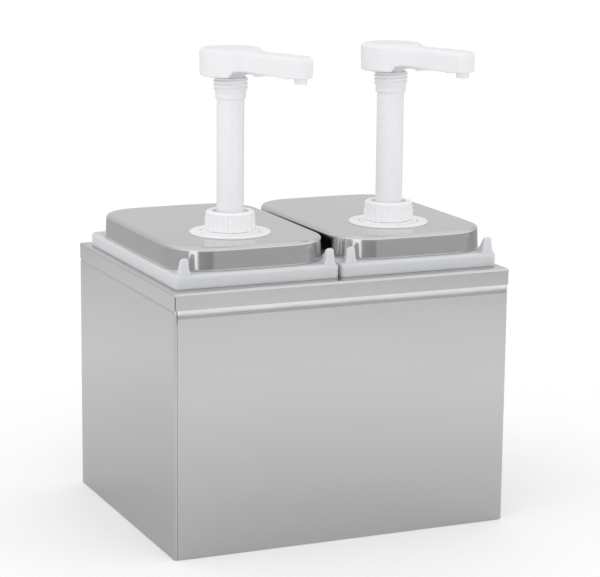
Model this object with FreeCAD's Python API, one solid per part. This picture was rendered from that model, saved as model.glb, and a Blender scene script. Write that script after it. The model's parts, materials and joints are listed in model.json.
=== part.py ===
import FreeCAD, Part
import math
import os

from FreeCAD import Vector

# Double condiment pump dispenser. Millimetres, +Z up, +X to the right, -Y to the front.
# Origin: the middle of the footprint, on the surface the dispenser stands on.

# ---- Housing -------------------------------------------------------------------------------
HOUSING_WIDTH = 341.0
HOUSING_DEPTH = 273.0
HOUSING_HEIGHT = 250.0
SHEET = 0.8                       # stainless sheet thickness
GAP = 0.1                         # clearance between sheets that are not in contact
REST_GAP = 0.02                   # hairline between pieces that only rest on each other
CAP_FLANGE = 16.0                 # how far the cap's flanges hang down
CAP_BEND = 2.5                    # outer bend radius along the cap's top edges
CAP_NOTCH = 1.1                   # open slit between two flanges at each corner
NOTCH_MARGIN = 0.6                # the slits end this far below the top bend
WRAP_BEND = 2.5                   # outer bend radius of the wrap's upright edges
WRAP_RETURN = 14.0                # width of the wrap's returns behind the front panel
WRAP_STEP = (231.0, 233.6)        # the wrap steps in behind the cap's flanges between these heights
RETURN_TOP = 222.0                # the returns' flat parts end here, below the panel's joggle
SHEET_TOP = 247.0                 # the wrap and the panel end here, below the cap's inner bend
PANEL_HALF = 167.6                # half width of the front panel, between the wrap's bends
PANEL_CLEARANCE = 0.4             # side gap between the panel's joggle and the wrap
JOGGLE = (226.0, 243.0)           # the panel steps back behind the cap between these heights
JOGGLE_DEPTH = 1.9
JOGGLE_PULL = 0.42                # how far the S-bend stays upright at each end, as a share
PAN_LIP = 12.0                    # height of the base pan's upturned edges
PAN_BEND = 1.4

# ---- Containers ----------------------------------------------------------------------------
STATION_PITCH = 165.8             # centre to centre of the two stations
STATIONS = {"left": -STATION_PITCH / 2, "right": STATION_PITCH / 2}
CONTAINER_Y = -1.2                # the containers' centre, front to back
RIM_HALF = (81.25, 121.2)         # half width and half depth of the container's rim
RIM_CORNER = 4.5
RIM_HEIGHT = 13.4                 # height of the rim above the cap
RIM_EDGE = 3.6                    # rounding along the rim's top edge
PLASTIC_WALL = 2.2
TUB_HALF = (74.5, 110.0)          # half width and half depth of the tub at its mouth
TUB_CORNER = 36.0
TUB_FLOOR = 35.0                  # height of the tub's underside above the bench
TUB_DRAFT = 3.2                   # how much each side of the tub narrows from mouth to floor
TUB_FLOOR_EDGE = 10.0             # rounding between the tub's walls and floor
SPIGOT = 6.0                      # the tub's mouth stands this far above the rim, inside the lid
CUTOUT_CLEARANCE = 0.9            # gap between the tub and the cap's cut-out

HORN_HEIGHT = 15.0                # upright ears on the rim's two front corners
HORN_TIP = (5.0, 12.8)            # the tip's near and far side, inwards from the rim's side
HORN_BASE = (3.5, 14.3)
HORN_TIP_DEPTH = (0.8, 4.8)       # front and back of the tip, from the rim's front face
HORN_BASE_DEPTH = (0.3, 14.5)
HORN_ROOT = 4.0                   # how deep the ear is rooted in the rim
HORN_EDGE = 1.8

# ---- Lids ----------------------------------------------------------------------------------
LID_X = 1.4                       # the loose lid rests this far right of its container's middle
LID_Y = 1.2
LID_HALF = (79.4, 117.2)          # half width and half depth at the top edge
LID_BOW = (1.5, 4.2)              # how far the long sides and the short sides bow outwards
LID_CORNER = 41.0
LID_SPREAD = 1.0                  # extra half width at the lower edge
LID_HEIGHT = 21.4
LID_EDGE = 3.5                    # outer rounding along the lid's top edge
LID_SHEET = 0.8

# ---- Pump mounting ---------------------------------------------------------------------------
PUMP_Y = -47.7
STROKE = 105.0
RUNNING_GAP = 0.06                # radial clearance of everything that slides or turns
FLANGE_RADIUS = 38.5
FLANGE_THICKNESS = 1.8
FLANGE_EDGE = 0.8
FLANGE_RING = 27.3                # inside radius of the arc slots in the flange
SLOT_WIDTH = 1.5
SLOT_DEPTH = 1.3
BRIDGES = 5                       # solid bridges between the arc slots
BRIDGE_WIDTH = 4.5
BRIDGE_ANGLE = 23.0               # direction of the first bridge
HOLE_RADIUS = 25.5                # hole in the lid for the flange's sleeve
SLEEVE_RADIUS = 25.0
SLEEVE_LENGTH = 9.5
NECK_RADIUS = 19.6
NECK_BORE = 17.0
GASKET_RADIUS = 31.5
GASKET_THICKNESS = 1.2
BACK_NUT_RADIUS = 30.5
BACK_NUT_HEIGHT = 6.0
BACK_NUT_LUGS = 8
BACK_NUT_LUG = (29.5, 33.0)       # inner and outer end of a grip lug
BACK_NUT_LUG_WIDTH = 6.0

# ---- Closure nut ---------------------------------------------------------------------------
NUT_RADIUS = 23.15
NUT_HEIGHT = 18.6
NUT_GAP = 0.4                     # between the nut's lower edge and the flange
NUT_EDGE = 2.2                    # rounding of the top band
NUT_BAND = 5.6                    # height of the smooth band above the ribs
NUT_WEB_THICKNESS = 3.2
NUT_MOUTH = 17.0                  # radius of the nut's top hole
NUT_RIBS = 60
NUT_RIB_FEET = 0.6                # the ribs start this far above the nut's lower edge
NUT_RIB_DEPTH = 0.55
NUT_RIB_VALLEY = 0.2
NUT_LUGS = 6
NUT_LUG_WIDTH = 2.0
NUT_LUG_DEPTH = 1.5
NUT_LUG_HEIGHT = 11.5
NUT_LUG_EDGE = 0.6

# ---- Pump cylinder, foot valve and dip tube -----------------------------------------------------
CYLINDER_RADIUS = 16.5
CYLINDER_EDGE = 2.0
BORE_RADIUS = 15.0
CYLINDER_BOTTOM = 128.0
CYLINDER_FLOOR = 3.0
CYLINDER_RIM_HEIGHT = 2.5
RIM_SLACK = 0.3                   # the cylinder's rim is this much smaller than the neck
BUSH_LENGTH = 16.0
BUSH_RIM = (1.0, 1.6)             # heights of the bush's rim at its edge and at its top
FOOT_RADIUS = 10.0                # the foot valve's body, where it fills the cylinder's floor
FOOT_END_RADIUS = 9.0
FOOT_BOTTOM = 94.0
FOOT_TAPER = 12.0
FOOT_SEAT = 109.0                 # narrow end of the inlet ball's seat
FOOT_SEAT_RISE = 4.5
FOOT_RIM = 2.0                    # thickness of the spring's seat
CHAMBER_RADIUS = 8.0
TUBE_RADIUS = 6.0
TUBE_BORE = 4.5
TUBE_END = 42.0
TUBE_SLANT = 30.0                 # angle of the dip tube's cut end
TUBE_LEDGE = 1.2                  # plastic between the dip tube's end and the seat

# ---- Plunger -------------------------------------------------------------------------------
STEM_RADIUS = 12.65
STEM_BORE = 9.5
STEM_IN_HEAD = 6.0
STEM_IN_PISTON = 8.0
PISTON_BOTTOM = 258.0
PISTON_CLEARANCE = 0.4            # between the piston's skirt and the bore
PISTON_SEAT = (4.0, 9.0)          # lower and upper end of the outlet ball's seat
SOCKET_FLOOR = 16.0               # height of the stem's socket above the piston's underside
GROOVE_RADIUS = 12.4
GROOVE = (3.0, 8.0)               # lower and upper side of the seal's groove
SEAL_CORE = 12.45
SEAL_WAIST = 14.0
SEAL_HEIGHT = 4.8
SEAL_LIP = 1.0                    # height of each of the seal's two lips
BALL_RADIUS = 6.5
BALL_LIFT = 4.0
BALL_REST = 0.02                  # hairline between a ball and its seat
STOP_RIBS = 3
STOP_RIB_WIDTH = 1.6
STOP_RIB_START = 3.0              # inner end of a stop rib
STOP_RIB_HEIGHT = 6.0
STOP_CLEARANCE = 0.4
COLLAR_RADIUS = 14.0
COLLAR_FOOT = (0.5, 1.6, 3.0, 6.4)  # first step outwards, then heights of the rounded shoulder
THREAD_CORE = 14.2
THREAD_RADIUS = 16.0
THREAD_PITCH = 3.9
THREAD_TURNS = 3
THREAD_ROOT = 1.5                 # half height of a thread turn at its root
THREAD_CREST = 0.4                # half height at its crest
THREAD_TO_HEAD = 1.6              # from the last turn's middle to the head
SPRING_TURNS = 11
SPRING_WIRE = 1.6
SPRING_MEAN_RADIUS = 12.3

# ---- Pump head -----------------------------------------------------------------------------
HEAD_BOTTOM = 432.5
HEAD_TOP = 459.6                  # at the rim; the middle is crowned a little
HEAD_CROWN = 0.8
HEAD_RADIUS = 30.0
HEAD_DRAFT = 1.0                  # the knob is this much smaller at its lower edge
HEAD_TOP_EDGE = 4.0
HEAD_LOW_EDGE = 2.6
HEAD_WALL = 2.8
HEAD_BOSS = 16.0
ARM_ANGLE = -60.0                 # direction of the spout arm at rest, from +X towards +Y
ARM_WIDTH = 24.0
ARM_REACH = 90.0                  # from the pump's axis to the arm's end
ARM_BOTTOM = 437.0
ARM_TOP_ROOT = 457.9
ARM_TOP_END = 456.2
ARM_END_ROUND = 7.5
ARM_TOP_ROUND = 4.5
ARM_CHEEK = 9.0                   # half width of the solid root between the knob's hollow parts
JUNCTION_ROUND = 6.0              # where the arm's sides run into the knob
DUCT_HALF = 5.0
DUCT_TOP = 452.0
DUCT_FLOOR = 3.0                  # the duct's underside above the arm's underside
COVER_SEAT = (17.5, 72.0)         # the cover's recess, as distances from the pump's axis
COVER_HALF = 7.0
COVER_FIT = 0.1
COVER_FOOT = (31.5, 36.0)
COVER_LEDGE = 66.5
COVER_FOOT_HALF = 6.0
COVER_FOOT_DROP = 1.6
COVER_LEDGE_DROP = 1.0
NOZZLE_REACH = 81.0
NOZZLE_RADIUS = 6.2
NOZZLE_BORE = 3.6
NOZZLE_BOTTOM = 431.6
NOZZLE_SOCKET = 6.0               # how deep the nozzle sits in the arm
NOZZLE_TIP = (0.9, 0.4, 0.5)      # how much the tip narrows at its end, just above, and where

# ---- Heights that follow from the dimensions above --------------------------------------------
RIM_TOP = HOUSING_HEIGHT + RIM_HEIGHT
LID_BOTTOM = RIM_TOP + REST_GAP
LID_TOP = LID_BOTTOM + LID_HEIGHT
FLANGE_TOP = LID_TOP + FLANGE_THICKNESS
NUT_BOTTOM = FLANGE_TOP + NUT_GAP
NUT_TOP = NUT_BOTTOM + NUT_HEIGHT
NUT_WEB = NUT_TOP - NUT_WEB_THICKNESS
CYLINDER_TOP = NUT_WEB
CYLINDER_RIM = CYLINDER_TOP - CYLINDER_RIM_HEIGHT
NECK_TOP = CYLINDER_RIM - 0.8
FLOOR_TOP = CYLINDER_BOTTOM + CYLINDER_FLOOR
STEM_TOP = HEAD_BOTTOM + STEM_IN_HEAD
STEM_BOTTOM = PISTON_BOTTOM + SOCKET_FLOOR
COLLAR_BOTTOM = NUT_TOP + STROKE + 2.0
TUBE_TOP = FOOT_SEAT - TUBE_LEDGE


# ---- General shapes ------------------------------------------------------------------------
def box(x0, y0, z0, x1, y1, z1):
    """A box between two opposite corners."""
    return Part.makeBox(x1 - x0, y1 - y0, z1 - z0, Vector(x0, y0, z0))


def rod(x, y, radius, z0, z1):
    """An upright cylinder."""
    return Part.makeCylinder(radius, z1 - z0, Vector(x, y, z0))


def tube(x, y, outer, inner, z0, z1):
    """An upright tube."""
    return rod(x, y, outer, z0, z1).cut(rod(x, y, inner, z0 - 1, z1 + 1))


def turned(x, y, points):
    """A solid of revolution about the upright axis at x, y. The points are radius and height."""
    corners = [Vector(x + radius, y, height) for radius, height in points]
    face = Part.Face(Part.makePolygon(corners + corners[:1]))
    return face.revolve(Vector(x, y, 0), Vector(0, 0, 1), 360)


def rounded_outline(x, y, half, corner, z):
    """A horizontal rectangle with round corners, as a wire."""
    a, b = half
    edges = []
    for turn in range(4):
        # the corner's centre, then the flat side that follows it
        sx = (1, -1, -1, 1)[turn]
        sy = (1, 1, -1, -1)[turn]
        centre = Vector(x + sx * (a - corner), y + sy * (b - corner), z)
        start = turn * 90
        edges.append(Part.makeCircle(corner, centre, Vector(0, 0, 1), start, start + 90))
        along = math.radians(start + 90)
        first = centre + Vector(corner * math.cos(along), corner * math.sin(along), 0)
        length = 2 * ((a, b)[turn % 2] - corner)
        step = Vector(-math.sin(along), math.cos(along), 0)
        edges.append(Part.makeLine(first, first + step * length))
    return Part.Wire(edges)


def rounded_block(x, y, half, corner, z0, z1):
    """An upright block with round upright edges."""
    face = Part.Face(rounded_outline(x, y, half, corner, z0))
    return face.extrude(Vector(0, 0, z1 - z0))


def tapered_block(x, y, half, corner, shrink, z0, z1):
    """A round-cornered block that is narrower by shrink on each side at its lower end."""
    lower_half = (half[0] - shrink, half[1] - shrink)
    lower = rounded_outline(x, y, lower_half, corner - shrink, z0)
    upper = rounded_outline(x, y, half, corner, z1)
    return Part.makeLoft([lower, upper], True, True)


def edges_near(shape, height, tolerance=0.05):
    """The edges that lie flat at one height."""
    found = []
    for edge in shape.Edges:
        bounds = edge.BoundBox
        if abs(bounds.ZMin - height) < tolerance and abs(bounds.ZMax - height) < tolerance:
            found.append(edge)
    return found


def upright_edges(shape, minimum=1.0):
    """The straight edges that stand upright."""
    found = []
    for edge in shape.Edges:
        bounds = edge.BoundBox
        if bounds.XLength < 0.001 and bounds.YLength < 0.001 and bounds.ZLength > minimum:
            found.append(edge)
    return found


def turned_to(shape, x, y, degrees):
    """The shape turned about the upright axis at x, y."""
    return shape.rotated(Vector(x, y, 0), Vector(0, 0, 1), degrees)


def save(shape, name):
    """Writes one piece after making sure it is sound."""
    clean = shape.removeSplitter()
    if clean.isValid():
        shape = clean
    if not shape.isValid():
        raise ValueError(name + " is not a valid solid")
    shape.exportStep("parts/" + name + ".step")


# ---- Housing -------------------------------------------------------------------------------
def top_frame():
    """The folded cap: a top sheet with two cut-outs and a flange down each side."""
    half_x = HOUSING_WIDTH / 2
    half_y = HOUSING_DEPTH / 2
    low = HOUSING_HEIGHT - CAP_FLANGE
    outer = box(-half_x, -half_y, low, half_x, half_y, HOUSING_HEIGHT)
    outer = outer.makeFillet(CAP_BEND, edges_near(outer, HOUSING_HEIGHT))
    ix = half_x - SHEET
    iy = half_y - SHEET
    under = HOUSING_HEIGHT - SHEET
    inner = box(-ix, -iy, low - 5, ix, iy, under)
    inner = inner.makeFillet(CAP_BEND - SHEET, edges_near(inner, under))
    cap = outer.cut(inner)
    for x in STATIONS.values():
        half = (TUB_HALF[0] + CUTOUT_CLEARANCE, TUB_HALF[1] + CUTOUT_CLEARANCE)
        corner = TUB_CORNER + CUTOUT_CLEARANCE
        hole = rounded_block(x, CONTAINER_Y, half, corner, under - 2, HOUSING_HEIGHT + 2)
        cap = cap.cut(hole)
    notch_top = HOUSING_HEIGHT - CAP_BEND - NOTCH_MARGIN
    for sx in (-1, 1):
        for sy in (-1, 1):
            x = sx * (half_x - CAP_NOTCH / 2)
            y = sy * (half_y - CAP_NOTCH / 2)
            reach = CAP_NOTCH / 2
            notch = box(x - reach, y - reach, low - 1, x + reach, y + reach, notch_top)
            cap = cap.cut(notch)
    return cap


def wrap_form(inset):
    """The wrap's outer form, or its inner form when inset by the sheet's thickness."""
    front = -HOUSING_DEPTH / 2 + SHEET + GAP
    middle = (front + HOUSING_DEPTH / 2) / 2
    half = (HOUSING_WIDTH / 2 - inset, HOUSING_DEPTH / 2 - middle - inset)
    corner = WRAP_BEND - inset
    step = SHEET + GAP
    high_half = (half[0] - step, half[1] - step)
    step_low, step_high = WRAP_STEP
    lower = rounded_block(0, middle, half, corner, -inset, step_low)
    slope = Part.makeLoft([rounded_outline(0, middle, half, corner, step_low),
                           rounded_outline(0, middle, high_half, corner - step, step_high)],
                          True, True)
    upper = rounded_block(0, middle, high_half, corner - step, step_high, SHEET_TOP + inset)
    return lower.fuse(slope).fuse(upper)


def body_wrap():
    """One sheet folded round both sides and the back, with a return at each front edge."""
    wrap = wrap_form(0).cut(wrap_form(SHEET))
    front = -HOUSING_DEPTH / 2
    half_opening = HOUSING_WIDTH / 2 - WRAP_RETURN
    reach = WRAP_BEND + SHEET
    wrap = wrap.cut(box(-half_opening, front, -1, half_opening, front + reach, SHEET_TOP + 1))
    # above the returns only the wrap's bend is left beside the panel's joggle
    clear = PANEL_HALF + PANEL_CLEARANCE
    return wrap.cut(box(-clear, front, RETURN_TOP, clear, front + reach, SHEET_TOP + 1))


def front_panel():
    """The flat front sheet. Its top edge steps back through an S-bend behind the cap's flange."""
    face = -HOUSING_DEPTH / 2
    joggle_low, joggle_high = JOGGLE
    recessed = face + JOGGLE_DEPTH

    def s_bend(offset):
        """The curve from the flat front up to the part behind the flange."""
        start = Vector(0, face + offset, joggle_low)
        end = Vector(0, recessed + offset, joggle_high)
        pull = Vector(0, 0, (joggle_high - joggle_low) * JOGGLE_PULL)
        curve = Part.BezierCurve()
        curve.setPoles([start, start + pull, end - pull, end])
        return curve.toShape()

    def upright(y, low, high):
        """A straight upright line of the profile."""
        return Part.makeLine(Vector(0, y, low), Vector(0, y, high))

    top_edge = Part.makeLine(Vector(0, recessed, SHEET_TOP), Vector(0, recessed + SHEET, SHEET_TOP))
    bottom_edge = Part.makeLine(Vector(0, face + SHEET, 0), Vector(0, face, 0))
    outline = [
        upright(face, 0, joggle_low),
        s_bend(0),
        upright(recessed, joggle_high, SHEET_TOP),
        top_edge,
        upright(recessed + SHEET, SHEET_TOP, joggle_high),
        s_bend(SHEET),
        upright(face + SHEET, joggle_low, 0),
        bottom_edge,
    ]
    profile = Part.Face(Part.Wire(Part.__sortEdges__(outline)))
    panel = profile.extrude(Vector(2 * PANEL_HALF, 0, 0))
    panel.translate(Vector(-PANEL_HALF, 0, 0))
    return panel


def base_pan():
    """The bottom sheet with its edges turned up inside the wrap."""
    front = -HOUSING_DEPTH / 2 + 2 * (SHEET + GAP)
    back = HOUSING_DEPTH / 2 - SHEET - GAP
    middle = (front + back) / 2
    half = (HOUSING_WIDTH / 2 - SHEET - GAP, (back - front) / 2)
    corner = WRAP_BEND - SHEET + GAP
    outer = rounded_block(0, middle, half, corner, 0, PAN_LIP)
    outer = outer.makeFillet(PAN_BEND, edges_near(outer, 0))
    inner_half = (half[0] - SHEET, half[1] - SHEET)
    inner = rounded_block(0, middle, inner_half, corner - SHEET, SHEET, PAN_LIP + 1)
    return outer.cut(inner)


# ---- Container -----------------------------------------------------------------------------
def horn(x, side):
    """One upright ear near a front corner of the rim, for placing the lid."""
    edge_x = x + side * RIM_HALF[0]
    front = CONTAINER_Y - RIM_HALF[1]
    low = RIM_TOP - HORN_ROOT
    high = RIM_TOP + HORN_HEIGHT

    def prism(base, tip, place, length):
        """A prism whose outline runs up one side of the ear, over its tip and down the other."""
        spread = HORN_ROOT / HORN_HEIGHT
        outline = [
            place(base[0] + (base[0] - tip[0]) * spread, low),
            place(tip[0], high),
            place(tip[1], high),
            place(base[1] + (base[1] - tip[1]) * spread, low),
        ]
        return Part.Face(Part.makePolygon(outline + outline[:1])).extrude(length)

    def on_front(distance, height):
        """A point on the ear's outline as seen from the front."""
        return Vector(edge_x - side * distance, front, height)

    def on_flank(distance, height):
        """A point on the ear's outline as seen from the side."""
        return Vector(x - RIM_HALF[0], front + distance, height)

    seen_from_front = prism(HORN_BASE, HORN_TIP, on_front, Vector(0, 2 * HORN_BASE_DEPTH[1], 0))
    seen_from_side = prism(HORN_BASE_DEPTH, HORN_TIP_DEPTH, on_flank, Vector(2 * RIM_HALF[0], 0, 0))
    ear = seen_from_front.common(seen_from_side)
    rising = [edge for edge in ear.Edges if edge.BoundBox.ZMax > high - 0.01]
    return ear.makeFillet(HORN_EDGE, rising)


def container(x):
    """The tub with its deep rim, the raised mouth that centres the lid, and two ears."""
    mouth_top = RIM_TOP + SPIGOT
    rim = rounded_block(x, CONTAINER_Y, RIM_HALF, RIM_CORNER, HOUSING_HEIGHT + REST_GAP, RIM_TOP)
    rim = rim.makeFillet(RIM_EDGE, edges_near(rim, RIM_TOP))
    for side in (-1, 1):
        rim = rim.fuse(horn(x, side))
    under_half = (RIM_HALF[0] - PLASTIC_WALL, RIM_HALF[1] - PLASTIC_WALL)
    under_top = RIM_TOP - PLASTIC_WALL
    under = rounded_block(x, CONTAINER_Y, under_half, RIM_CORNER - PLASTIC_WALL,
                          HOUSING_HEIGHT - 1, under_top)
    rim = rim.cut(under)
    tub = tapered_block(x, CONTAINER_Y, TUB_HALF, TUB_CORNER, TUB_DRAFT, TUB_FLOOR, mouth_top)
    tub = tub.makeFillet(TUB_FLOOR_EDGE, edges_near(tub, TUB_FLOOR))
    inner_half = (TUB_HALF[0] - PLASTIC_WALL, TUB_HALF[1] - PLASTIC_WALL)
    hollow = tapered_block(x, CONTAINER_Y, inner_half, TUB_CORNER - PLASTIC_WALL, TUB_DRAFT,
                           TUB_FLOOR + PLASTIC_WALL, mouth_top + 0.5)
    hollow = hollow.makeFillet(TUB_FLOOR_EDGE - PLASTIC_WALL,
                               edges_near(hollow, TUB_FLOOR + PLASTIC_WALL))
    return rim.fuse(tub).cut(hollow)


# ---- Lid -----------------------------------------------------------------------------------
def bowed_outline(x, y, half, corner, z):
    """A rectangle with gently bowed sides and large round corners, as a wire of eight arcs."""
    a, b = half
    long_bow, short_bow = LID_BOW
    short_radius = (a * a + short_bow * short_bow) / (2 * short_bow)
    long_radius = (b * b + long_bow * long_bow) / (2 * long_bow)
    # centres of the arcs that form the back side and the right side
    back = Vector(0, b - short_radius, 0)
    right = Vector(a - long_radius, 0, 0)
    # the corner arc touches both, so its centre lies at known distances from their centres
    reach_back = short_radius - corner
    reach_right = long_radius - corner
    between = right - back
    distance = between.Length
    along = (reach_back ** 2 - reach_right ** 2 + distance ** 2) / (2 * distance)
    across = math.sqrt(reach_back ** 2 - along ** 2)
    unit = between * (1 / distance)
    normal = Vector(-unit.y, unit.x, 0)
    centre = back + unit * along + normal * across
    if centre.x < 0 or centre.y < 0:
        centre = back + unit * along - normal * across
    on_back = back + (centre - back).normalize() * short_radius
    on_right = right + (centre - right).normalize() * long_radius
    outwards = (on_back + on_right) * 0.5 - centre
    on_corner = centre + outwards.normalize() * corner

    def at(point, sx, sy):
        """The point mirrored into one quarter of the outline."""
        return Vector(x + sx * point.x, y + sy * point.y, z)

    mid_back = Vector(0, b, 0)
    mid_right = Vector(a, 0, 0)
    arcs = []
    for sx, sy in ((1, 1), (-1, 1), (-1, -1), (1, -1)):
        quarter = Part.Arc(at(on_right, sx, sy), at(on_corner, sx, sy), at(on_back, sx, sy))
        arcs.append(quarter.toShape())
    for side in (-1, 1):
        wide = Part.Arc(at(on_back, 1, side), at(mid_back, 1, side), at(on_back, -1, side))
        arcs.append(wide.toShape())
        deep = Part.Arc(at(on_right, side, 1), at(mid_right, side, 1), at(on_right, side, -1))
        arcs.append(deep.toShape())
    return Part.Wire(Part.__sortEdges__(arcs))


def bowed_block(x, y, half, corner, z0, z1, edge):
    """The lid's outer or inner form: slightly wider at the bottom, round along the top."""
    low_half = (half[0] + LID_SPREAD, half[1] + LID_SPREAD)
    lower = bowed_outline(x, y, low_half, corner + LID_SPREAD, z0)
    upper = bowed_outline(x, y, half, corner, z1)
    block = Part.makeLoft([lower, upper], True, True)
    return block.makeFillet(edge, edges_near(block, z1))


def lid(x):
    """A pressed sheet cover with one round hole for the pump."""
    outer = bowed_block(x, LID_Y, LID_HALF, LID_CORNER, LID_BOTTOM, LID_TOP, LID_EDGE)
    inner_half = (LID_HALF[0] - LID_SHEET, LID_HALF[1] - LID_SHEET)
    inner = bowed_block(x, LID_Y, inner_half, LID_CORNER - LID_SHEET, LID_BOTTOM,
                        LID_TOP - LID_SHEET, LID_EDGE - LID_SHEET)
    hole = rod(x, PUMP_Y, HOLE_RADIUS, LID_TOP - 2 * LID_SHEET, LID_TOP + 1)
    return outer.cut(inner).cut(hole)


# ---- Pump mounting -------------------------------------------------------------------------
def around(x, count, first, piece):
    """Copies of a piece set evenly round the pump's axis, fused to one shape."""
    whole = turned_to(piece, x, PUMP_Y, first)
    for index in range(1, count):
        whole = whole.fuse(turned_to(piece, x, PUMP_Y, first + 360.0 / count * index))
    return whole


def radial_box(x, inner, outer, width, z0, z1):
    """A box that points along +X from the pump's axis."""
    return box(x + inner, PUMP_Y - width / 2, z0, x + outer, PUMP_Y + width / 2, z1)


def pump_flange(x):
    """The disc on the lid, its slotted ring, the neck for the nut and the sleeve below."""
    sleeve_bottom = LID_TOP - SLEEVE_LENGTH
    disc = rod(x, PUMP_Y, FLANGE_RADIUS, LID_TOP, FLANGE_TOP)
    disc = disc.makeFillet(FLANGE_EDGE, edges_near(disc, FLANGE_TOP))
    body = disc.fuse(rod(x, PUMP_Y, SLEEVE_RADIUS, sleeve_bottom, FLANGE_TOP))
    body = body.fuse(rod(x, PUMP_Y, NECK_RADIUS, FLANGE_TOP, NECK_TOP))
    body = body.cut(rod(x, PUMP_Y, NECK_BORE, sleeve_bottom - 1, NECK_TOP + 1))
    body = body.cut(tube(x, PUMP_Y, SLEEVE_RADIUS - PLASTIC_WALL, NECK_BORE + PLASTIC_WALL,
                         sleeve_bottom - 1, LID_TOP))
    ring = tube(x, PUMP_Y, FLANGE_RING + SLOT_WIDTH, FLANGE_RING, FLANGE_TOP - SLOT_DEPTH,
                FLANGE_TOP + 1)
    bridge = radial_box(x, FLANGE_RING - 1, FLANGE_RING + SLOT_WIDTH + 1, BRIDGE_WIDTH,
                        FLANGE_TOP - 2 * SLOT_DEPTH, FLANGE_TOP + 2)
    return body.cut(ring.cut(around(x, BRIDGES, BRIDGE_ANGLE, bridge)))


def lid_gasket(x):
    """A flat ring between the lid's underside and the back nut."""
    top = LID_TOP - LID_SHEET
    return tube(x, PUMP_Y, GASKET_RADIUS, SLEEVE_RADIUS + GAP, top - GASKET_THICKNESS, top)


def back_nut(x):
    """The ring that clamps the flange's sleeve from below the lid, with grip lugs round it."""
    top = LID_TOP - LID_SHEET - GASKET_THICKNESS
    low = top - BACK_NUT_HEIGHT
    lug = radial_box(x, BACK_NUT_LUG[0], BACK_NUT_LUG[1], BACK_NUT_LUG_WIDTH, low, top - 1.5)
    ring = rod(x, PUMP_Y, BACK_NUT_RADIUS, low, top).fuse(around(x, BACK_NUT_LUGS, 0, lug))
    return ring.cut(rod(x, PUMP_Y, SLEEVE_RADIUS + RUNNING_GAP, low - 1, top + 1))


def rim_gasket(x):
    """A flat ring between the neck and the cylinder's rim."""
    return tube(x, PUMP_Y, NECK_RADIUS - RIM_SLACK, CYLINDER_RADIUS + GAP, NECK_TOP, CYLINDER_RIM)


def closure_nut(x):
    """The cap nut: a smooth rounded top band, fine ribs below it and six larger lugs."""
    body = rod(x, PUMP_Y, NUT_RADIUS, NUT_BOTTOM, NUT_TOP)
    body = body.makeFillet(NUT_EDGE, edges_near(body, NUT_TOP))
    rib_low = NUT_BOTTOM + NUT_RIB_FEET
    corners = []
    for index in range(2 * NUT_RIBS):
        angle = math.pi * index / NUT_RIBS
        radius = NUT_RADIUS - NUT_RIB_VALLEY if index % 2 else NUT_RADIUS + NUT_RIB_DEPTH
        corners.append(Vector(x + radius * math.cos(angle),
                              PUMP_Y + radius * math.sin(angle), rib_low))
    ribs = Part.Face(Part.makePolygon(corners + corners[:1]))
    body = body.fuse(ribs.extrude(Vector(0, 0, NUT_TOP - NUT_BAND - rib_low)))
    lug_top = NUT_BOTTOM + NUT_LUG_HEIGHT
    lug = radial_box(x, NUT_RADIUS - 2, NUT_RADIUS + NUT_LUG_DEPTH, NUT_LUG_WIDTH,
                     NUT_BOTTOM, lug_top)
    lug = lug.makeFillet(NUT_LUG_EDGE, edges_near(lug, lug_top))
    body = body.fuse(around(x, NUT_LUGS, 180.0 / NUT_LUGS, lug))
    body = body.cut(rod(x, PUMP_Y, NECK_RADIUS + RUNNING_GAP, NUT_BOTTOM - 1, NUT_WEB))
    return body.cut(rod(x, PUMP_Y, NUT_MOUTH, NUT_WEB - 1, NUT_TOP + 1))


def pump_cylinder(x):
    """The long barrel that hangs in the sauce, with a rim at its top and a holed floor."""
    barrel = rod(x, PUMP_Y, CYLINDER_RADIUS, CYLINDER_BOTTOM, CYLINDER_TOP)
    barrel = barrel.makeFillet(CYLINDER_EDGE, edges_near(barrel, CYLINDER_BOTTOM))
    barrel = barrel.fuse(rod(x, PUMP_Y, NECK_RADIUS - RIM_SLACK, CYLINDER_RIM, CYLINDER_TOP))
    barrel = barrel.cut(rod(x, PUMP_Y, BORE_RADIUS, FLOOR_TOP, CYLINDER_TOP + 1))
    return barrel.cut(rod(x, PUMP_Y, FOOT_RADIUS, CYLINDER_BOTTOM - 1, FLOOR_TOP + 1))


def guide_bush(x):
    """The flanged bush that guides the stem at the cylinder's mouth."""
    bore = STEM_RADIUS + RUNNING_GAP
    edge_height, rim_height = BUSH_RIM
    rim = NUT_MOUTH - 0.4
    chamfer = rim_height - edge_height
    return turned(x, PUMP_Y, [
        (bore, CYLINDER_TOP - BUSH_LENGTH),
        (BORE_RADIUS, CYLINDER_TOP - BUSH_LENGTH),
        (BORE_RADIUS, CYLINDER_TOP),
        (rim, CYLINDER_TOP),
        (rim, CYLINDER_TOP + edge_height),
        (rim - chamfer, CYLINDER_TOP + rim_height),
        (bore + chamfer, CYLINDER_TOP + rim_height),
        (bore, CYLINDER_TOP + edge_height),
    ])


# ---- Foot valve ----------------------------------------------------------------------------
def stop_ribs(x, low, high, reach):
    """Three ribs inside a round chamber that hold a ball back but let the sauce pass."""
    rib = radial_box(x, STOP_RIB_START, reach, STOP_RIB_WIDTH, low, high)
    return around(x, STOP_RIBS, 0, rib)


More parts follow.
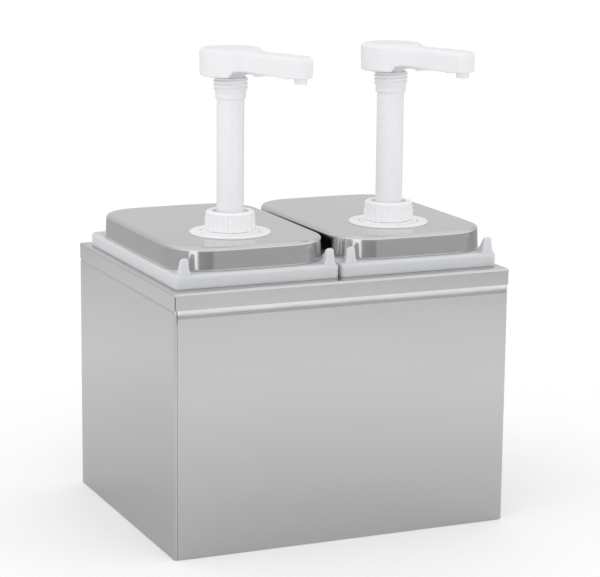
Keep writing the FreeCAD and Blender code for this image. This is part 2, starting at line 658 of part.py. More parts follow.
def foot_valve(x):
    """The inlet valve body: a spring seat, a ball chamber with three stop ribs and a socket."""
    top = FLOOR_TOP + FOOT_RIM
    body = turned(x, PUMP_Y, [
        (TUBE_RADIUS, FOOT_BOTTOM),
        (FOOT_END_RADIUS, FOOT_BOTTOM),
        (FOOT_RADIUS, FOOT_BOTTOM + FOOT_TAPER),
        (FOOT_RADIUS, FLOOR_TOP),
        (BORE_RADIUS - GAP, FLOOR_TOP),
        (BORE_RADIUS - GAP, top),
        (CHAMBER_RADIUS, top),
        (CHAMBER_RADIUS, FOOT_SEAT + FOOT_SEAT_RISE),
        (TUBE_BORE, FOOT_SEAT),
        (TUBE_BORE, TUBE_TOP),
        (TUBE_RADIUS, TUBE_TOP),
    ])
    stop = inlet_ball_centre() + BALL_RADIUS + BALL_LIFT + STOP_CLEARANCE
    return body.fuse(stop_ribs(x, stop, top, CHAMBER_RADIUS + 0.6))


def seat_rise(chamber, bore, height):
    """How high a ball's centre rests above the narrow end of its conical seat."""
    slope = math.atan2(height, chamber - bore)
    return (BALL_RADIUS - bore * math.sin(slope)) / math.cos(slope)


def inlet_ball_centre():
    """The inlet ball's height when it rests on its seat."""
    return FOOT_SEAT + seat_rise(CHAMBER_RADIUS, TUBE_BORE, FOOT_SEAT_RISE) + BALL_REST


def inlet_ball(x):
    """The ball that lets sauce in and holds it on the down stroke."""
    return Part.makeSphere(BALL_RADIUS, Vector(x, PUMP_Y, inlet_ball_centre()))


def dip_tube(x):
    """The suction tube, cut at a slant so it can't seal against the tub's floor."""
    pipe = tube(x, PUMP_Y, TUBE_RADIUS, TUBE_BORE, TUBE_END, TUBE_TOP)
    reach = 3 * TUBE_RADIUS
    slant = box(x - reach, PUMP_Y - reach, TUBE_END - reach, x + reach, PUMP_Y + reach, TUBE_END)
    corner = Vector(x - TUBE_RADIUS, PUMP_Y, TUBE_END)
    return pipe.cut(slant.rotated(corner, Vector(0, 1, 0), -TUBE_SLANT))


# ---- Plunger -------------------------------------------------------------------------------
def piston(x):
    """The piston: a seal groove, the outlet valve's seat and a socket for the stem."""
    skirt = BORE_RADIUS - PISTON_CLEARANCE
    socket = STEM_RADIUS + RUNNING_GAP
    top = STEM_BOTTOM + STEM_IN_PISTON
    groove_low, groove_high = GROOVE
    seat_low, seat_high = PISTON_SEAT
    return turned(x, PUMP_Y, [
        (TUBE_BORE, PISTON_BOTTOM),
        (skirt, PISTON_BOTTOM),
        (skirt, PISTON_BOTTOM + groove_low),
        (GROOVE_RADIUS, PISTON_BOTTOM + groove_low),
        (GROOVE_RADIUS, PISTON_BOTTOM + groove_high),
        (skirt, PISTON_BOTTOM + groove_high),
        (skirt, top),
        (socket, top),
        (socket, STEM_BOTTOM - GAP),
        (STEM_BORE, STEM_BOTTOM - GAP),
        (STEM_BORE, PISTON_BOTTOM + seat_high),
        (TUBE_BORE, PISTON_BOTTOM + seat_low),
    ])


def piston_seal(x):
    """A ring with two lips that run in the cylinder's bore."""
    low = PISTON_BOTTOM + GROOVE[0] + GAP
    high = low + SEAL_HEIGHT
    middle = (low + high) / 2
    lip = BORE_RADIUS - RUNNING_GAP
    bevel = SEAL_LIP / 2
    return turned(x, PUMP_Y, [
        (SEAL_CORE, low),
        (SEAL_WAIST, low),
        (lip, low + bevel),
        (lip, low + bevel + SEAL_LIP),
        (SEAL_WAIST, middle),
        (lip, high - bevel - SEAL_LIP),
        (lip, high - bevel),
        (SEAL_WAIST, high),
        (SEAL_CORE, high),
    ])


def outlet_ball_centre():
    """The outlet ball's height when it rests in the piston."""
    seat_low, seat_high = PISTON_SEAT
    rise = seat_rise(STEM_BORE, TUBE_BORE, seat_high - seat_low)
    return PISTON_BOTTOM + seat_low + rise + BALL_REST


def outlet_ball(x):
    """The ball that lets sauce up the stem and seals it on the up stroke."""
    return Part.makeSphere(BALL_RADIUS, Vector(x, PUMP_Y, outlet_ball_centre()))


def stem_tube(x):
    """The hollow stem, with three ribs inside that stop the outlet ball."""
    pipe = tube(x, PUMP_Y, STEM_RADIUS, STEM_BORE, STEM_BOTTOM, STEM_TOP)
    stop = outlet_ball_centre() + BALL_RADIUS + BALL_LIFT + STOP_CLEARANCE
    return pipe.fuse(stop_ribs(x, stop, stop + STOP_RIB_HEIGHT, STEM_BORE + 0.6))


def lock_collar(x):
    """The collar under the head: a plain shoulder, then thread turns that lock into the nut."""
    foot_step, foot_low, foot_high, shoulder_top = COLLAR_FOOT
    points = [
        (STEM_RADIUS, COLLAR_BOTTOM),
        (STEM_RADIUS + foot_step, COLLAR_BOTTOM),
        (COLLAR_RADIUS - 0.3, COLLAR_BOTTOM + foot_low),
        (COLLAR_RADIUS, COLLAR_BOTTOM + foot_high),
        (COLLAR_RADIUS, COLLAR_BOTTOM + shoulder_top),
    ]
    last = HEAD_BOTTOM - THREAD_TO_HEAD
    for index in range(THREAD_TURNS):
        middle = last - THREAD_PITCH * (THREAD_TURNS - 1 - index)
        points.append((THREAD_CORE, middle - THREAD_ROOT))
        points.append((THREAD_RADIUS, middle - THREAD_CREST))
        points.append((THREAD_RADIUS, middle + THREAD_CREST))
        points.append((THREAD_CORE, middle + THREAD_ROOT))
    points.append((STEM_RADIUS, last + THREAD_ROOT))
    return turned(x, PUMP_Y, points)


def return_spring(x):
    """The coil spring between the foot valve and the piston."""
    low = FLOOR_TOP + FOOT_RIM + SPRING_WIRE / 2
    high = PISTON_BOTTOM - SPRING_WIRE / 2
    pitch = (high - low) / SPRING_TURNS
    helix = Part.makeHelix(pitch, high - low, SPRING_MEAN_RADIUS)
    start = Vector(SPRING_MEAN_RADIUS, 0, 0)
    along = Vector(0, 1, pitch / (2 * math.pi * SPRING_MEAN_RADIUS))
    section = Part.Wire(Part.makeCircle(SPRING_WIRE / 2, start, along))
    coil = Part.Wire(helix).makePipeShell([section], True, True)
    coil.translate(Vector(x, PUMP_Y, low))
    return coil


# ---- Pump head -----------------------------------------------------------------------------
def arm_box(x, start, end, half_width, z0, z1):
    """A box along the spout arm, from start to end as measured from the pump's axis."""
    block = radial_box(x, start, end, 2 * half_width, z0, z1)
    return turned_to(block, x, PUMP_Y, ARM_ANGLE)


def nozzle_centre(x):
    """Where the nozzle's axis stands."""
    angle = math.radians(ARM_ANGLE)
    return x + NOZZLE_REACH * math.cos(angle), PUMP_Y + NOZZLE_REACH * math.sin(angle)


def arm_blank(x):
    """The solid arm before it is hollowed: sloping top, rounded end, drawn along +X first."""
    outline = [
        Vector(x, PUMP_Y - ARM_WIDTH / 2, ARM_BOTTOM),
        Vector(x + ARM_REACH, PUMP_Y - ARM_WIDTH / 2, ARM_BOTTOM),
        Vector(x + ARM_REACH, PUMP_Y - ARM_WIDTH / 2, ARM_TOP_END),
        Vector(x, PUMP_Y - ARM_WIDTH / 2, ARM_TOP_ROOT),
    ]
    profile = Part.Face(Part.makePolygon(outline + outline[:1]))
    arm = profile.extrude(Vector(0, ARM_WIDTH, 0))
    end_edges = [edge for edge in upright_edges(arm) if edge.BoundBox.XMin > x + 1]
    arm = arm.makeFillet(ARM_END_ROUND, end_edges)
    top_edges = []
    for edge in arm.Edges:
        bounds = edge.BoundBox
        if bounds.ZMin > ARM_TOP_END - 0.3 and bounds.XMax > x + 1:
            top_edges.append(edge)
    arm = arm.makeFillet(ARM_TOP_ROUND, top_edges)
    return turned_to(arm, x, PUMP_Y, ARM_ANGLE)


def knob_blank(x):
    """The round knob before it is hollowed."""
    knob = turned(x, PUMP_Y, [
        (0, HEAD_BOTTOM),
        (HEAD_RADIUS - HEAD_DRAFT, HEAD_BOTTOM),
        (HEAD_RADIUS, HEAD_TOP),
        (0, HEAD_TOP + HEAD_CROWN),
    ])
    knob = knob.makeFillet(HEAD_TOP_EDGE, edges_near(knob, HEAD_TOP))
    return knob.makeFillet(HEAD_LOW_EDGE, edges_near(knob, HEAD_BOTTOM))


def junction_edges(x, head):
    """The upright edges where the arm's two sides run into the knob."""
    nearest, farthest = 15, 35
    found = []
    for edge in head.Edges:
        bounds = edge.BoundBox
        centre = bounds.Center
        away = math.hypot(centre.x - x, centre.y - PUMP_Y)
        rises = bounds.ZLength > 2.0 and ARM_BOTTOM - 1 < bounds.ZMin < HEAD_TOP - 5
        on_knob = HEAD_RADIUS - 1.5 < away < HEAD_RADIUS
        turn = math.degrees(math.atan2(centre.y - PUMP_Y, centre.x - x)) - ARM_ANGLE
        if rises and on_knob and nearest < abs(turn) < farthest:
            found.append(edge)
    return found


def pump_head(x):
    """The moulded head: a hollow knob, a boss for the stem and an arm with a sauce duct."""
    head = knob_blank(x).fuse(arm_blank(x)).removeSplitter()
    head = head.makeFillet(JUNCTION_ROUND, junction_edges(x, head))
    ceiling = HEAD_TOP - HEAD_WALL
    below = HEAD_BOTTOM - 1
    cavity = HEAD_RADIUS - HEAD_DRAFT - HEAD_WALL
    hollow = tube(x, PUMP_Y, cavity, HEAD_BOSS, below, ceiling)
    head = head.cut(hollow.cut(arm_box(x, 0, ARM_REACH, ARM_CHEEK, below - 1, ceiling + 1)))
    head = head.cut(rod(x, PUMP_Y, STEM_RADIUS, below, STEM_TOP))
    head = head.cut(rod(x, PUMP_Y, STEM_BORE, STEM_TOP - 1, DUCT_TOP))
    duct_floor = ARM_BOTTOM + DUCT_FLOOR
    head = head.cut(arm_box(x, 0, NOZZLE_REACH + NOZZLE_BORE, DUCT_HALF, duct_floor, DUCT_TOP))
    head = head.cut(arm_box(x, COVER_SEAT[0], COVER_SEAT[1], COVER_HALF, below, duct_floor))
    centre_x, centre_y = nozzle_centre(x)
    return head.cut(rod(centre_x, centre_y, NOZZLE_RADIUS, ARM_BOTTOM - 1,
                        ARM_BOTTOM + NOZZLE_SOCKET))


def duct_cover(x):
    """The strip that closes the duct from below, with a small foot at each end."""
    start = COVER_SEAT[0] + COVER_FIT
    end = COVER_SEAT[1] - COVER_FIT
    half = COVER_HALF - COVER_FIT
    underside = ARM_BOTTOM + COVER_FIT
    strip = arm_box(x, start, end, half, underside, ARM_BOTTOM + DUCT_FLOOR - COVER_FIT)
    foot = arm_box(x, COVER_FOOT[0], COVER_FOOT[1], COVER_FOOT_HALF,
                   ARM_BOTTOM - COVER_FOOT_DROP, underside)
    ledge = arm_box(x, COVER_LEDGE, end, half, ARM_BOTTOM - COVER_LEDGE_DROP, underside)
    return strip.fuse(foot).fuse(ledge)


def nozzle(x):
    """The short outlet tube under the arm's end."""
    centre_x, centre_y = nozzle_centre(x)
    top = ARM_BOTTOM + NOZZLE_SOCKET - COVER_FIT
    end_narrowing, tip_narrowing, tip_height = NOZZLE_TIP
    return turned(centre_x, centre_y, [
        (NOZZLE_BORE, NOZZLE_BOTTOM),
        (NOZZLE_RADIUS - end_narrowing, NOZZLE_BOTTOM),
        (NOZZLE_RADIUS - tip_narrowing, NOZZLE_BOTTOM + tip_height),
        (NOZZLE_RADIUS, ARM_BOTTOM - 0.5),
        (NOZZLE_RADIUS, top),
        (NOZZLE_BORE, top),
    ])


LID_AND_PUMP = {
    "lid": lid,
    "pump_flange": pump_flange,
    "lid_gasket": lid_gasket,
    "back_nut": back_nut,
    "rim_gasket": rim_gasket,
    "closure_nut": closure_nut,
    "pump_cylinder": pump_cylinder,
    "guide_bush": guide_bush,
    "foot_valve": foot_valve,
    "inlet_ball": inlet_ball,
    "dip_tube": dip_tube,
    "piston": piston,
    "piston_seal": piston_seal,
    "outlet_ball": outlet_ball,
    "return_spring": return_spring,
    "stem_tube": stem_tube,
    "lock_collar": lock_collar,
    "pump_head": pump_head,
    "duct_cover": duct_cover,
    "nozzle": nozzle,
}


def main():
    """Builds every piece and writes it."""
    os.makedirs("parts", exist_ok=True)
    save(top_frame(), "top_frame")
    save(body_wrap(), "body_wrap")
    save(front_panel(), "front_panel")
    save(base_pan(), "base_pan")
    for side, x in STATIONS.items():
        save(container(x), "container_" + side)
        for name, build in LID_AND_PUMP.items():
            save(build(x + LID_X), name + "_" + side)


main()
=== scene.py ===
import json
import math

import bmesh
import bpy
import numpy as np
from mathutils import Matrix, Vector

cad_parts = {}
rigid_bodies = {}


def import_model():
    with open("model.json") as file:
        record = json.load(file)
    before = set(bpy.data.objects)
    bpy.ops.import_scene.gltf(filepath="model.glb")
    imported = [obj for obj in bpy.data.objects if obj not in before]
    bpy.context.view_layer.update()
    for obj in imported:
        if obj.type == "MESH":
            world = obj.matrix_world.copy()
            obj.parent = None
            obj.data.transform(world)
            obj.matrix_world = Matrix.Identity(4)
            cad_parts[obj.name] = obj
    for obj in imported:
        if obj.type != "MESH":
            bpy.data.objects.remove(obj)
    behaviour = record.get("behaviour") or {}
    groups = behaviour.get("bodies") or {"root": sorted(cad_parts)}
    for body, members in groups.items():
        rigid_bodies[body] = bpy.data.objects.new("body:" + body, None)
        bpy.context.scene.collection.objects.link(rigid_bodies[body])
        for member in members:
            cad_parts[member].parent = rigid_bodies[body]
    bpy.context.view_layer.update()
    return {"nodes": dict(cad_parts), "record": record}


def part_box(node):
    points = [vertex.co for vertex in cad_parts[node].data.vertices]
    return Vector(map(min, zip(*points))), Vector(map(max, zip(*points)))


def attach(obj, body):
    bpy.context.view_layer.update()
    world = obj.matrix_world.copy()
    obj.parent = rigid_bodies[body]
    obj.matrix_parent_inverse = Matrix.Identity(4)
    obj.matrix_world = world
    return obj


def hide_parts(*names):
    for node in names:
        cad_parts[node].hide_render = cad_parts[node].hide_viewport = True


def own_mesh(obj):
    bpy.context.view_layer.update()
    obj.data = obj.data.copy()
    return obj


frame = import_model()

# Lengths below are metres, as everywhere in the frame. MM turns a millimetre value into metres.
MM = 0.001
SIDES = ("left", "right")


# ---- Places and sizes taken from the frame -----------------------------------------------------
def centre_of(node):
    """The middle of a CAD node's box."""
    low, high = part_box(node)
    return (low + high) / 2


def pump_axis(side):
    """The x and y of one pump's upright axis."""
    middle = centre_of("stem_tube_" + side)
    return middle.x, middle.y


# ---- Mesh helpers --------------------------------------------------------------------------
def shade(mesh, degrees):
    """Smooth shading, with edges sharper than the given angle kept crisp."""
    bm = bmesh.new()
    bm.from_mesh(mesh)
    bmesh.ops.recalc_face_normals(bm, faces=bm.faces)
    limit = math.radians(degrees)
    for edge in bm.edges:
        edge.smooth = len(edge.link_faces) == 2 and edge.calc_face_angle(0.0) < limit
    for face in bm.faces:
        face.smooth = True
    bm.to_mesh(mesh)
    bm.free()


def make_piece(name, vertices, faces, material, body, stands_for=(), degrees=38):
    """A mesh object that rides on a body and takes the place of CAD nodes."""
    mesh = bpy.data.meshes.new(name)
    mesh.from_pydata([tuple(v) for v in vertices], [], faces)
    mesh.validate()
    shade(mesh, degrees)
    piece = bpy.data.objects.new(name, mesh)
    bpy.context.scene.collection.objects.link(piece)
    mesh.materials.append(material)
    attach(piece, body)
    if stands_for:
        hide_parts(*stands_for)
    return piece


def ring_faces(count, size, closed):
    """Quads between rings of vertices; closed joins the last ring to the first."""
    faces = []
    last = count if closed else count - 1
    for ring in range(last):
        here = ring * size
        there = (ring + 1) % count * size
        for k in range(size):
            after = (k + 1) % size
            faces.append((here + k, here + after, there + after, there + k))
    return faces


def ring_shell(rings):
    """The vertices and faces of a closed skin through rings that lead back to the first."""
    vertices = [point for ring in rings for point in ring]
    return vertices, ring_faces(len(rings), len(rings[0]), True)


def capped_shell(rings):
    """The vertices and faces of a skin through rings, closed by a flat face at each end."""
    size = len(rings[0])
    vertices = [point for ring in rings for point in ring]
    faces = ring_faces(len(rings), size, False)
    faces.append(tuple(range(size)))
    start = (len(rings) - 1) * size
    faces.append(tuple(range(start + size - 1, start - 1, -1)))
    return vertices, faces


def arc_steps(count):
    """Angles from 0 to a quarter turn."""
    return [math.pi / 2 * k / count for k in range(count + 1)]


def smoothstep(value):
    """A smooth rise from 0 to 1."""
    t = np.clip(value, 0.0, 1.0)
    return t * t * (3 - 2 * t)


def polar_ring(cx, cy, radius, z, count, bulge=None):
    """A level ring. bulge gives extra radius at each angle."""
    angles = np.arange(count) * (2 * math.pi / count)
    radii = radius + (bulge(angles) if bulge else 0 * angles)
    heights = np.full(count, z)
    return np.column_stack([cx + radii * np.cos(angles), cy + radii * np.sin(angles), heights])


def lathe(cx, cy, profile, count=96):
    """A closed solid of revolution from radius and height pairs that lead back to the first."""
    return ring_shell([polar_ring(cx, cy, radius, z, count) for radius, z in profile])


# ---- Materials -----------------------------------------------------------------------------
class Nodes:
    """A small wrapper that makes one material's node tree readable."""

    def __init__(self, name):
        self.material = bpy.data.materials.new(name)
        self.material.use_nodes = True
        self.tree = self.material.node_tree
        self.shader = self.tree.nodes["Principled BSDF"]
        self.place = self.add("ShaderNodeTexCoord").outputs["Object"]

    def add(self, kind, **settings):
        """A new node with its properties set."""
        node = self.tree.nodes.new(kind)
        for key, value in settings.items():
            setattr(node, key, value)
        return node

    def feed(self, socket, value):
        """Puts a number, a colour or another node's output into a socket."""
        if isinstance(value, bpy.types.NodeSocket):
            self.tree.links.new(value, socket)
        else:
            socket.default_value = value

    def math(self, operation, first, second=0.0):
        """One arithmetic node."""
        node = self.add("ShaderNodeMath", operation=operation)
        self.feed(node.inputs[0], first)
        self.feed(node.inputs[1], second)
        return node.outputs[0]

    def vector(self, operation, first, second=(0.0, 0.0, 0.0)):
        """One vector node."""
        node = self.add("ShaderNodeVectorMath", operation=operation)
        self.feed(node.inputs[0], first)
        self.feed(node.inputs[1], second)
        return node.outputs["Vector"]

    def noise(self, scale, detail=3.0, stretch=(1.0, 1.0, 1.0), roughness=0.55):
        """Noise over the object's own space; stretch makes it run along one axis."""
        mapping = self.add("ShaderNodeMapping")
        self.feed(mapping.inputs["Vector"], self.place)
        mapping.inputs["Scale"].default_value = stretch
        node = self.add("ShaderNodeTexNoise")
        self.feed(node.inputs["Vector"], mapping.outputs["Vector"])
        node.inputs["Scale"].default_value = scale
        node.inputs["Detail"].default_value = detail
        node.inputs["Roughness"].default_value = roughness
        return node.outputs["Fac"]

    def spread(self, value, low, high, start=0.3, end=0.7):
        """Maps a noise value from start..end to low..high."""
        node = self.add("ShaderNodeMapRange")
        self.feed(node.inputs["Value"], value)
        node.inputs["From Min"].default_value = start
        node.inputs["From Max"].default_value = end
        node.inputs["To Min"].default_value = low
        node.inputs["To Max"].default_value = high
        return node.outputs["Result"]

    def mix(self, factor, first, second):
        """Blends two colours."""
        node = self.add("ShaderNodeMix", data_type="RGBA")
        self.feed(node.inputs["Factor"], factor)
        self.feed(node.inputs["A"], first)
        self.feed(node.inputs["B"], second)
        return node.outputs["Result"]

    def bump(self, height, strength, distance, under=None):
        """A bump node; under is a bump that it adds to."""
        node = self.add("ShaderNodeBump")
        self.feed(node.inputs["Height"], height)
        node.inputs["Strength"].default_value = strength
        node.inputs["Distance"].default_value = distance
        if under is not None:
            self.feed(node.inputs["Normal"], under)
        return node.outputs["Normal"]

    def edges(self, start=0.52, end=0.60):
        """How strongly a place stands out as a convex edge, 0 to 1."""
        geometry = self.add("ShaderNodeNewGeometry")
        return self.spread(geometry.outputs["Pointiness"], 0.0, 1.0, start, end)


def grey(value, warmth=0.0):
    """A neutral colour with a little warmth, or coolness when negative."""
    return (value * (1 + warmth), value, value * (1 - warmth), 1.0)


def brushed_steel(name, tone, roughness, grain_along, waviness, stretch):
    """Satin stainless sheet: fine parallel grain, soft smears, polished wear along the edges."""
    m = Nodes(name)
    across = [1.0, 1.0, 1.0]
    across["xyz".index(grain_along)] = 0.015
    fine = m.noise(2400.0, 2.0, tuple(across))
    coarse = m.noise(150.0, 4.0, tuple(across))
    smear = m.noise(9.0, 4.0, (1.0, 1.0, 1.6))
    streaks = m.math("ADD", m.math("MULTIPLY", fine, 0.4), m.math("MULTIPLY", coarse, 0.6))
    base = m.mix(m.spread(streaks, 0.0, 1.0), grey(tone * 0.975, 0.002), grey(tone * 1.02, -0.002))
    base = m.mix(m.spread(smear, 0.0, 0.5), base, grey(tone * 0.975, 0.004))
    base = m.mix(m.math("MULTIPLY", m.edges(), 0.5), base, grey(min(tone * 1.1, 0.95)))
    m.feed(m.shader.inputs["Base Color"], base)
    m.feed(m.shader.inputs["Metallic"], 1.0)
    rough = m.math("ADD", m.spread(streaks, roughness - 0.015, roughness + 0.015),
                   m.spread(smear, -0.015, 0.02))
    worn = m.math("MULTIPLY", m.edges(), 0.04)
    m.feed(m.shader.inputs["Roughness"], m.math("SUBTRACT", rough, worn))
    m.feed(m.shader.inputs["Anisotropic"], stretch)
    # the grain's direction: level on upright faces, along X on level ones
    normal = m.add("ShaderNodeNewGeometry").outputs["Normal"]
    level = m.vector("CROSS_PRODUCT", (0.0, 0.0, 1.0), normal)
    split = m.add("ShaderNodeSeparateXYZ")
    m.feed(split.inputs[0], normal)
    flat = m.math("GREATER_THAN", m.math("ABSOLUTE", split.outputs["Z"]), 0.8)
    along_x = m.add("ShaderNodeCombineXYZ")
    m.feed(along_x.inputs["X"], flat)
    m.feed(m.shader.inputs["Tangent"], m.vector("ADD", level, along_x.outputs[0]))
    dents = m.bump(m.noise(8.0, 1.0), waviness, 2.0 * MM)
    grain = m.bump(streaks, 0.03, 0.03 * MM, dents)
    m.feed(m.shader.inputs["Normal"], grain)
    return m.material


def moulded_plastic(name, colour, roughness, glow, depth):
    """Moulded plastic: light scattering, faint flow marks, scuffed edges and a soft sheen."""
    m = Nodes(name)
    flow = m.noise(28.0, 3.0)
    speckle = m.noise(900.0, 2.0)
    dull = tuple(c * 0.985 for c in colour[:3]) + (1.0,)
    worn = tuple(min(c * 1.03, 0.97) for c in colour[:3]) + (1.0,)
    base = m.mix(m.spread(flow, 0.0, 0.6), colour, dull)
    base = m.mix(m.math("MULTIPLY", m.edges(), 0.5), base, worn)
    m.feed(m.shader.inputs["Base Color"], base)
    rough = m.math("ADD", m.spread(flow, roughness - 0.04, roughness + 0.05),
                   m.spread(speckle, -0.02, 0.02))
    m.feed(m.shader.inputs["Roughness"], m.math("ADD", rough, m.math("MULTIPLY", m.edges(), 0.1)))
    m.feed(m.shader.inputs["Subsurface Weight"], glow)
    m.feed(m.shader.inputs["Subsurface Radius"], (1.0, 1.0, 1.0))
    m.feed(m.shader.inputs["Subsurface Scale"], depth)
    m.feed(m.shader.inputs["IOR"], 1.5)
    soft = m.bump(m.noise(60.0, 2.0), 0.02, 0.6 * MM)
    m.feed(m.shader.inputs["Normal"], m.bump(speckle, 0.03, 0.03 * MM, soft))
    return m.material


def rubber(name, tone):
    """Matte seal rubber with a fine moulded grain."""
    m = Nodes(name)
    grain = m.noise(1400.0, 3.0)
    patch = m.noise(45.0, 2.0)
    m.feed(m.shader.inputs["Base Color"], m.mix(patch, grey(tone * 0.9), grey(tone * 1.1)))
    m.feed(m.shader.inputs["Roughness"], m.spread(grain, 0.6, 0.8))
    m.feed(m.shader.inputs["Normal"], m.bump(grain, 0.2, 0.05 * MM))
    return m.material


def drawn_wire(name, tone, roughness):
    """Bright wire or ball steel with drawing marks."""
    m = Nodes(name)
    marks = m.noise(1800.0, 3.0)
    tint = m.mix(m.spread(marks, 0.0, 1.0), grey(tone * 0.93), grey(tone * 1.05))
    m.feed(m.shader.inputs["Base Color"], tint)
    m.feed(m.shader.inputs["Metallic"], 1.0)
    m.feed(m.shader.inputs["Roughness"], m.spread(marks, roughness * 0.7, roughness * 1.4))
    m.feed(m.shader.inputs["Normal"], m.bump(marks, 0.08, 0.02 * MM))
    return m.material


WHITE = (0.86, 0.865, 0.885, 1.0)
MILKY = (0.67, 0.68, 0.70, 1.0)
# painted light: the colour below is the white plastic made lighter for the flange, nut and bush,
# offsetting the shade that the nut and stem cast on the flange
LIT_WHITE = (0.92, 0.925, 0.94, 1.0)
materials = {
    "housing_steel": brushed_steel("housing_steel", 0.60, 0.20, "x", 0.05, 0.45),
    "side_steel": brushed_steel("side_steel", 0.60, 0.20, "y", 0.05, 0.45),
    "lid_steel": brushed_steel("lid_steel", 0.60, 0.12, "y", 0.02, 0.2),
    "container_plastic": moulded_plastic("container_plastic", MILKY, 0.34, 0.55, 4.0 * MM),
    "white_plastic": moulded_plastic("white_plastic", WHITE, 0.30, 0.22, 1.6 * MM),
    # painted light: this lighter copy of the white plastic stands in for extra light on the flange,
    # nut and bush
    "nut_plastic": moulded_plastic("nut_plastic", LIT_WHITE, 0.34, 0.22, 1.6 * MM),
    "clear_white_plastic": moulded_plastic("clear_white_plastic", (0.78, 0.80, 0.82, 1.0),
                                           0.22, 0.6, 4.0 * MM),
    "gasket_rubber": rubber("gasket_rubber", 0.45),
    "ball_steel": drawn_wire("ball_steel", 0.75, 0.10),
    "spring_steel": drawn_wire("spring_steel", 0.60, 0.25),
}


def dress_cad_nodes():
    """Every CAD node takes the material of its record slot."""
    for entry in frame["record"]["subparts"]:
        node = frame["nodes"][entry["node"]]
        slot = entry["material_slot"]
        chosen = materials["side_steel" if entry["node"] == "body_wrap" else slot]
        node.data.materials.clear()
        node.data.materials.append(chosen)


# ---- Lid -----------------------------------------------------------------------------------
LID_SHEET = 0.8 * MM
LID_CORNER = 41.0 * MM
LID_EDGE = 3.5 * MM
LID_LIFT = 0.8 * MM
LID_SPREAD = 1.0 * MM
LID_BOW = (1.5 * MM, 4.2 * MM)
LID_HOLE = 25.5 * MM


def bowed_ring(cx, cy, half, corner, z):
    """A level ring: a rectangle with gently bowed sides and large round corners."""
    a, b = half
    bow_x, bow_y = LID_BOW
    radius_y = (a * a + bow_y * bow_y) / (2 * bow_y)
    radius_x = (b * b + bow_x * bow_x) / (2 * bow_x)
    back = np.array([0.0, b - radius_y])
    right = np.array([a - radius_x, 0.0])
    reach_y = radius_y - corner
    reach_x = radius_x - corner
    between = right - back
    distance = np.linalg.norm(between)
    along = (reach_y ** 2 - reach_x ** 2 + distance ** 2) / (2 * distance)
    across = math.sqrt(reach_y ** 2 - along ** 2)
    unit = between / distance
    normal = np.array([-unit[1], unit[0]])
    centre = back + unit * along + normal * across
    if centre[0] < 0 or centre[1] < 0:
        centre = back + unit * along - normal * across
    turn_start = math.atan2(*(centre - right)[::-1])
    turn_end = math.atan2(*(centre - back)[::-1])
    quarter = []
    for t in np.linspace(0.0, turn_start, 26, endpoint=False):
        quarter.append(right + radius_x * np.array([math.cos(t), math.sin(t)]))
    for t in np.linspace(turn_start, turn_end, 30):
        quarter.append(centre + corner * np.array([math.cos(t), math.sin(t)]))
    for t in np.linspace(turn_end, math.pi / 2, 19)[1:-1]:
        quarter.append(back + radius_y * np.array([math.cos(t), math.sin(t)]))
    quarter.append(np.array([0.0, b]))
    quarter = np.array(quarter)
    upper_left = quarter[-2::-1] * (-1, 1)
    half_ring = np.vstack([quarter, upper_left])
    lower = half_ring[-2:0:-1] * (1, -1)
    ring = np.vstack([half_ring, lower])
    return np.column_stack([ring[:, 0] + cx, ring[:, 1] + cy, np.full(len(ring), z)])


def lid_rings(cx, cy, half, low, high, hole):
    """Rings from the outer lower edge, over the top to the hole and back along the inside."""
    def outline(inset, z):
        """The lid's outline moved inwards."""
        return bowed_ring(cx, cy, (half[0] - inset, half[1] - inset), LID_CORNER - inset, z)

    def wall(inset, edge, top, levels):
        """The wall and the rounded top edge of the outer or inner side, from the bottom up."""
        rings = []
        for t in levels:
            z = low + (top - edge - low) * t
            rings.append(outline(inset - LID_SPREAD * (1 - t), z))
        for angle in arc_steps(9)[1:]:
            inwards = edge * (1 - math.cos(angle))
            rings.append(outline(inset + inwards, top - edge + edge * math.sin(angle)))
        return rings

    def top_sheet(edge_ring, z):
        """Rings from the top edge to the hole."""
        spokes = edge_ring[:, :2] - np.array(hole)
        lengths = np.linalg.norm(spokes, axis=1, keepdims=True)
        rim = np.array(hole) + spokes / lengths * LID_HOLE
        rings = []
        for t in np.linspace(0, 1, 19)[1:]:
            flat = edge_ring[:, :2] * (1 - t) + rim * t
            rings.append(np.column_stack([flat, np.full(len(flat), z)]))
        return rings

    levels = [0.03, 0.12, 0.35, 0.6, 0.85, 1.0]
    outer = wall(0.0, LID_EDGE, high, levels)
    outer += top_sheet(outer[-1], high)
    inner = wall(LID_SHEET, LID_EDGE - LID_SHEET, high - LID_SHEET, levels)
    inner += top_sheet(inner[-1], high - LID_SHEET)
    lower_edge = [outline(0.75 * LID_SHEET - LID_SPREAD, low),
                  outline(0.25 * LID_SHEET - LID_SPREAD, low)]
    return outer + inner[::-1] + lower_edge


def build_lid(side):
    """The pressed steel lid of one station."""
    node = "lid_" + side
    low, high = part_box(node)
    half = ((high.x - low.x) / 2 - LID_SPREAD, (high.y - low.y) / 2 - LID_SPREAD)
    middle = centre_of(node)
    rings = lid_rings(middle.x, middle.y, half, low.z, high.z + LID_LIFT, pump_axis(side))
    vertices, faces = ring_shell(rings)
    make_piece("lid_shell_" + side, vertices, faces, materials["lid_steel"], node,
               (node,), 50)


# ---- Container -----------------------------------------------------------------------------
RIM_CORNER = 4.5 * MM
RIM_HEIGHT = 13.4 * MM
RIM_EDGE = 3.6 * MM
HORN_HEIGHT = 15.0 * MM
WALL = 2.2 * MM
MOUTH_HALF = (74.5 * MM, 110.0 * MM)
MOUTH_CORNER = 36.0 * MM
DRAFT = 3.2 * MM
SPIGOT = 6.0 * MM
FLOOR_EDGE = 10.0 * MM


